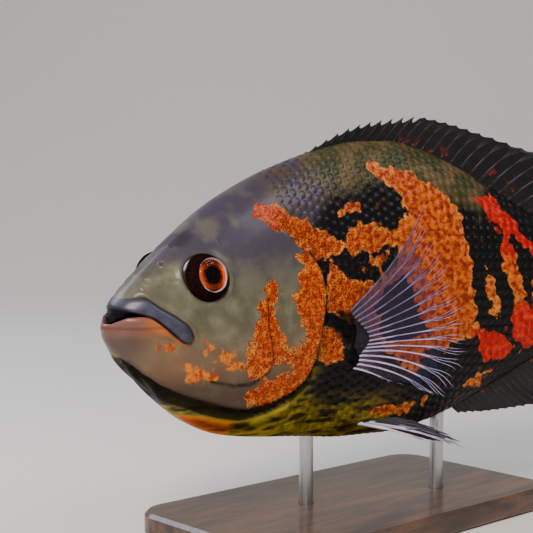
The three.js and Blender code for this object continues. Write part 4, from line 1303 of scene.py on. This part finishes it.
@dataclass(frozen=True)
class FinSet:
    """Where the seven fins grow, how long their rays are and how they lie."""

    dorsal_span: Band = (84, 208)
    dorsal_height: SmoothCurve = SmoothCurve((
        (0, 1.5), (0.1, 5), (0.22, 10.5), (0.42, 15), (0.64, 19), (0.76, 25), (0.9, 37), (1, 27)))
    dorsal_lean: SmoothCurve = SmoothCurve(((0, 50), (0.2, 36), (0.6, 34), (0.8, 46), (1, 66)))
    anal_span: Band = (168, 212)
    anal_height: SmoothCurve = SmoothCurve(((0, 5), (0.2, 11), (0.4, 17), (0.65, 26), (0.88, 36), (1, 28)))
    anal_lean: SmoothCurve = SmoothCurve(((0, 46), (0.4, 44), (0.8, 50), (1, 66)))
    pectoral_length: SmoothCurve = SmoothCurve((
        (0, 60), (0.1, 55), (0.4, 56), (0.6, 56), (0.8, 50), (0.94, 40), (1, 20)))
    pectoral_angle: SmoothCurve = SmoothCurve((
        (0, 51.5), (0.1, 43.4), (0.3, 28), (0.5, 13.5), (0.7, -1), (0.88, -16), (1, -17)))
    pectoral_curl: SmoothCurve = SmoothCurve(((0, 9), (0.3, 6), (0.55, -3), (0.85, -24), (1, -14)))
    pelvic_length: SmoothCurve = SmoothCurve(((0, 36), (0.2, 52), (0.4, 49), (0.7, 38), (1, 25)))
    root_depth: float = 3.0
    tail_root: float = 244.0
    tail_length: float = 60.0
    tail_spread: float = 34.0
    # The first rays' roots, as station and height, and how far the roots run from there.
    breast_root: Band = (98.5, -8.5)
    breast_run: Band = (4.0, -17.5)
    belly_root: Band = (112.0, -51.0)
    belly_run: Band = (8.0, 1.5)

    def middle_ray(
        self, u: Array, v: Array, span: tuple[float, float], root: SmoothCurve, outward: int,
        height: SmoothCurve, lean: SmoothCurve, sag: float,
    ) -> Array:
        """A point on a fin of the back or belly.

        Args:
            u: Shares along the fin's root.
            v: Shares along the ray.
            span: Where the fin starts and ends.
            root: The body's outline that it grows from.
            outward: 1 for up, -1 for down.
            height: Ray length by u.
            lean: Degrees back from straight out, by u.
            sag: How far the fin waves from side to side.

        Returns:
            Places in the model's frame, in metres.
        """
        s = span[0] + (span[1] - span[0]) * u
        length = (height(u) + self.root_depth) * v
        angle = np.radians(lean(u) + 14 * v * v * u)
        z = root(s) + outward * (length * np.cos(angle) - self.root_depth)
        return BODY.place(s + length * np.sin(angle), sag * v * v * np.sin(u * 9), z)

    def dorsal(self, u: Array, v: Array) -> Array:
        """A point on the fin of the back."""
        return self.middle_ray(
            u, v, self.dorsal_span, BODY.back, 1, self.dorsal_height, self.dorsal_lean, 1.0)

    def anal(self, u: Array, v: Array) -> Array:
        """A point on the fin behind the vent."""
        return self.middle_ray(u, v, self.anal_span, BODY.belly, -1, self.anal_height, self.anal_lean, 0.8)

    def caudal(self, u: Array, v: Array) -> Array:
        """A point on the rounded tail fin."""
        root = self.tail_root
        w = 1 - 2 * u
        reach_up, reach_down = BODY.back(root) * 0.84, -BODY.belly(root) * 0.84
        z0 = np.where(w > 0, reach_up * w, reach_down * w)
        angle = np.radians(self.tail_spread * w)
        reach = (self.tail_length + 5 - 9 * np.abs(w) ** 3) * v
        wave = 1.4 * np.sin(v * 3 + w) * v
        return BODY.place(root + reach * np.cos(angle), wave, z0 + reach * np.sin(angle) * 0.92)

    def pectoral(self, u: Array, v: Array, side: int, opening: float) -> Array:
        """A point on a breast fin, held out from the flank by its opening in degrees."""
        s0 = self.breast_root[0] + self.breast_run[0] * u
        z0 = self.breast_root[1] + self.breast_run[1] * u
        n0 = BODY.flank(s0, z0) - self.root_depth
        length = (self.pectoral_length(u) + self.root_depth) * v
        angle = np.radians(self.pectoral_angle(u) + self.pectoral_curl(u) * (v - 1))
        swing = math.radians(opening)
        out = length * np.cos(angle) * math.sin(swing) + 5 * np.sin(math.pi * v) * v
        wave = 0.9 * np.sin(v * 15 + u * 26) * step(v, 0.6, 1)
        along = length * np.cos(angle) * math.cos(swing)
        return BODY.place(s0 + along, side * (n0 + out + wave * 0.5), z0 + length * np.sin(angle) + wave)

    def pelvic(self, u: Array, v: Array, side: int) -> Array:
        """A point on a belly fin."""
        low = self.belly_root[1]
        s0 = self.belly_root[0] + self.belly_run[0] * u
        n0 = BODY.flank(s0, np.full_like(s0, low)) - 2.9
        length = (self.pelvic_length(u) + 3.5) * v
        drop = np.radians(9 - 7 * u + 7 * v)
        z = low + self.belly_run[1] * u - length * np.sin(drop)
        return BODY.place(s0 + length * np.cos(drop), side * (n0 + length * 0.2 - 2.4 * v * u), z)

    def build(self) -> None:
        """Builds every fin."""
        rays = {tone: RayBone(f"fin_ray_{tone.value}", 0.4, 0.2, tone).build() for tone in FinTone}
        films = {tone: Membrane(f"fin_film_{tone.value}", 0.38, 0.2, tone).build() for tone in FinTone}
        pad_skin = FinPad("fin_pad", 0.42, 0.03).build()
        fins = [
            Fin(
                "dorsal", "dorsal_fin", 28, self.dorsal, spines=13, root_radius=0.7, edge=0.96,
                spine_notch=0.2),
            Fin("anal", "anal_fin", 18, self.anal, spines=3, edge=0.97),
            Fin("tail", "tail_fin", 18, self.caudal, branches=4, branch_from=0.3, edge=0.98, notch=0.02),
        ]
        for side, name, opening in ((-1, "left", 37.0), (1, "right", 26.0)):
            def breast(
                u: Array, v: Array, side: int = side, opening: float = opening,
            ) -> Array:
                """A point on this side's breast fin."""
                return self.pectoral(u, v, side, opening)

            def belly(u: Array, v: Array, side: int = side) -> Array:
                """A point on this side's belly fin."""
                return self.pelvic(u, v, side)

            fins.append(Fin(
                f"pectoral_{name}", f"pectoral_fin_{name}", 16, breast, FinTone.CLEAR, pad=0.24, edge=0.84,
                notch=0.07))
            fins.append(Fin(
                f"pelvic_{name}", f"pelvic_fin_{name}", 6, belly, FinTone.PALE, root_radius=1.3, edge=0.9,
                notch=0.08))
        for fin in fins:
            fin.build(rays[fin.tone], films[fin.tone], pad_skin)


@dataclass(frozen=True)
class Eye:
    """An eyeball with a sunken iris, and the clear cornea over it."""

    side: int
    radius: float = EYE_RADIUS
    iris: float = 6.4
    forward: float = 0.0
    up: float = 14.0
    around: int = 56
    rows: int = 56
    dome_rows: int = 24
    bulge: float = 1.75
    sunk_back: float = 0.25

    def place(self, r: Array, h: Array, angle: Array) -> Array:
        """Puts points at a radius and a height on the eye's axis into the model's frame."""
        f, u = math.radians(self.forward), math.radians(self.up)
        axis = np.array([-math.sin(f) * math.cos(u), self.side * math.cos(f) * math.cos(u), math.sin(u)])
        one = np.cross(axis, (0, 0, 1))
        one /= np.linalg.norm(one)
        two = np.cross(one, axis)
        at = np.array([EYE_AT[0], self.side * EYE_AT[1], EYE_AT[2]]) + h[:, None] * axis
        at = at + (r * np.cos(angle))[:, None] * one + (r * np.sin(angle))[:, None] * two
        return BODY.place(*at.T)

    def build(self, tissue: bpy.types.Material, cornea: bpy.types.Material) -> None:
        """Builds the ball with its iris, and the cornea."""
        name = "left" if self.side < 0 else "right"
        rim = math.asin(self.iris / self.radius)
        face = self.radius * math.cos(rim)
        ball_rows = self.rows // 2

        def section(row: Array) -> tuple[Array, Array]:
            """Radius and height of the ball's section: round behind, dished in front."""
            polar = np.minimum(row / ball_rows, 1) * (math.pi - rim)
            inward = np.clip((row - ball_rows) / (self.rows - ball_rows), 0, 1)
            r = np.where(row <= ball_rows, self.radius * np.sin(polar), self.iris * (1 - inward))
            dish = (
                -0.9 * step(inward, 0, 0.12) + 0.55 * step(inward, 0.1, 0.5)
                - 0.5 * step(inward, 0.48, 0.6))
            h = np.where(row <= ball_rows, -self.radius * np.cos(polar), face + dish)
            return r, h

        bm = bmesh.new()
        row, _angle = Mesher.ball(bm, self.around, self.rows, lambda i, a: self.place(*section(i), a))
        r, h = section(row)
        colour = np.stack([r, (h > 2) * 1.0, 0 * r, 0 * r + 1], -1)
        Mesher.piece(f"eye_{name}_ball", bm, tissue, "eye", [f"eye_{name}"], {"along": colour})

        def dome(row: Array, angle: Array) -> Array:
            """The cornea: a lens whose front bulges past the ball and whose back is flat."""
            t = row / self.dome_rows
            r = (self.iris + 0.25) * np.sin(t * math.pi)
            bulge = np.where(t < 0.5, self.bulge, self.sunk_back) * np.cos(t * math.pi)
            return self.place(r, face + 0.1 + bulge, angle)

        bm = bmesh.new()
        Mesher.ball(bm, self.around, self.dome_rows, dome)
        Mesher.piece(f"eye_{name}_cornea", bm, cornea, "eye")


@dataclass(frozen=True)
class Studio:
    """The camera at the photo's angle, soft lights and a pale floor."""

    azimuth: float = -42.0
    elevation: float = 4.0
    distance: float = 520.0
    lens: float = 1282 / 533 * 36
    target: tuple[float, float, float] = (76.5, 0.0, 14.9)
    floor_size: float = 6.0
    sweep_radius: float = 0.8

    def aim(self, item: bpy.types.Object, at: Vector, target: Vector) -> None:
        """Puts an object somewhere and points it at a target."""
        item.location = at
        item.rotation_euler = (at - target).to_track_quat("Z", "Y").to_euler()
        bpy.context.scene.collection.objects.link(item)

    def camera(self) -> None:
        """Makes the camera."""
        a, e = math.radians(self.azimuth), math.radians(self.elevation)
        back = Vector((math.sin(a) * math.cos(e), -math.cos(a) * math.cos(e), math.sin(e)))
        target = Vector(BODY.place(*self.target))
        data = bpy.data.cameras.new("camera")
        data.sensor_width = 36.0
        data.lens = self.lens
        data.clip_start = 0.01
        item = bpy.data.objects.new("camera", data)
        self.aim(item, target + back * self.distance * MM, target)
        bpy.context.scene.camera = item

    def lights(self) -> None:
        """Makes a soft key from the upper left, a wide fill and a cool rim."""
        target = Vector((0, 0, 0.1))
        for name, at, size, power, colour in (
            ("key", (-0.85, -0.45, 0.8), 0.4, 15.0, "#fff6ec"),
            ("fill", (0.55, -0.75, 1.15), 0.6, 6.0, "#f4f2ff"),
            ("rim", (-0.45, 0.85, 0.8), 0.6, 9.0, "#dfe8ff"),
        ):
            data = bpy.data.lights.new(name, "AREA")
            data.size = size
            data.energy = power
            data.color = linear(colour)[:3]
            self.aim(bpy.data.objects.new(name, data), Vector(at), target)
        world = bpy.data.worlds.new("studio")
        world.use_nodes = True
        world.node_tree.nodes["Background"].inputs["Color"].default_value = linear("#e9e7e2")
        world.node_tree.nodes["Background"].inputs["Strength"].default_value = 0.4
        bpy.context.scene.world = world

    def floor(self) -> None:
        """Makes the pale floor, which sweeps up behind the fish."""
        bm = bmesh.new()

        def sweep(u: Array, v: Array) -> Array:
            """Lays the front flat and bends the rear up into a wall."""
            turn = np.clip((v - 0.5) / 0.2, 0, 1) * math.pi / 2
            rise = np.clip(v - 0.7, 0, 1) * self.floor_size
            depth = (np.minimum(v, 0.5) - 0.35) * self.floor_size + self.sweep_radius * np.sin(turn)
            up = self.sweep_radius * (1 - np.cos(turn)) + rise
            sideways = (u - 0.5) * self.floor_size
            swing = math.radians(self.azimuth)
            x = sideways * math.cos(swing) - depth * math.sin(swing)
            y = sideways * math.sin(swing) + depth * math.cos(swing)
            return np.stack([x, y, up], -1)

        Mesher.sheet(bm, 2, 60, sweep)
        graph = Finish("painted_floor", 0.75).start()
        graph.feed({"Base Color": linear("#e8e5df")})
        item = Mesher.item("floor", bm, graph.material)


def dress_stand() -> None:
    """Gives the stand's own solids their wood and steel."""
    wood = Walnut("walnut", 0.38, 0.25).build()
    steel = BrushedSteel("brushed_steel", 0.3).build()
    for name, material in (("stand_base", wood), ("stand_rod_front", steel), ("stand_rod_rear", steel)):
        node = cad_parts[name]
        node.data.materials.clear()
        node.data.materials.append(material)


def main() -> None:
    """Builds the studio, then the fish from its skin outwards, then the stand."""
    logging.basicConfig(level=logging.INFO, format="%(message)s")
    studio = Studio()
    studio.camera()
    studio.lights()
    studio.floor()
    skin = WetSkin("wet_skin", 0.4, 0.22).build()
    FishSkin().build(skin)
    ScaleCoat().build(skin)
    tissue = EyeTissue("eye_tissue", 0.25, 0.6).build()
    cornea = Cornea("cornea", 0.02).build()
    for side in (-1, 1):
        Eye(side).build(tissue, cornea)
    FinSet().build()
    dress_stand()


if __name__ == "__main__":
    main()
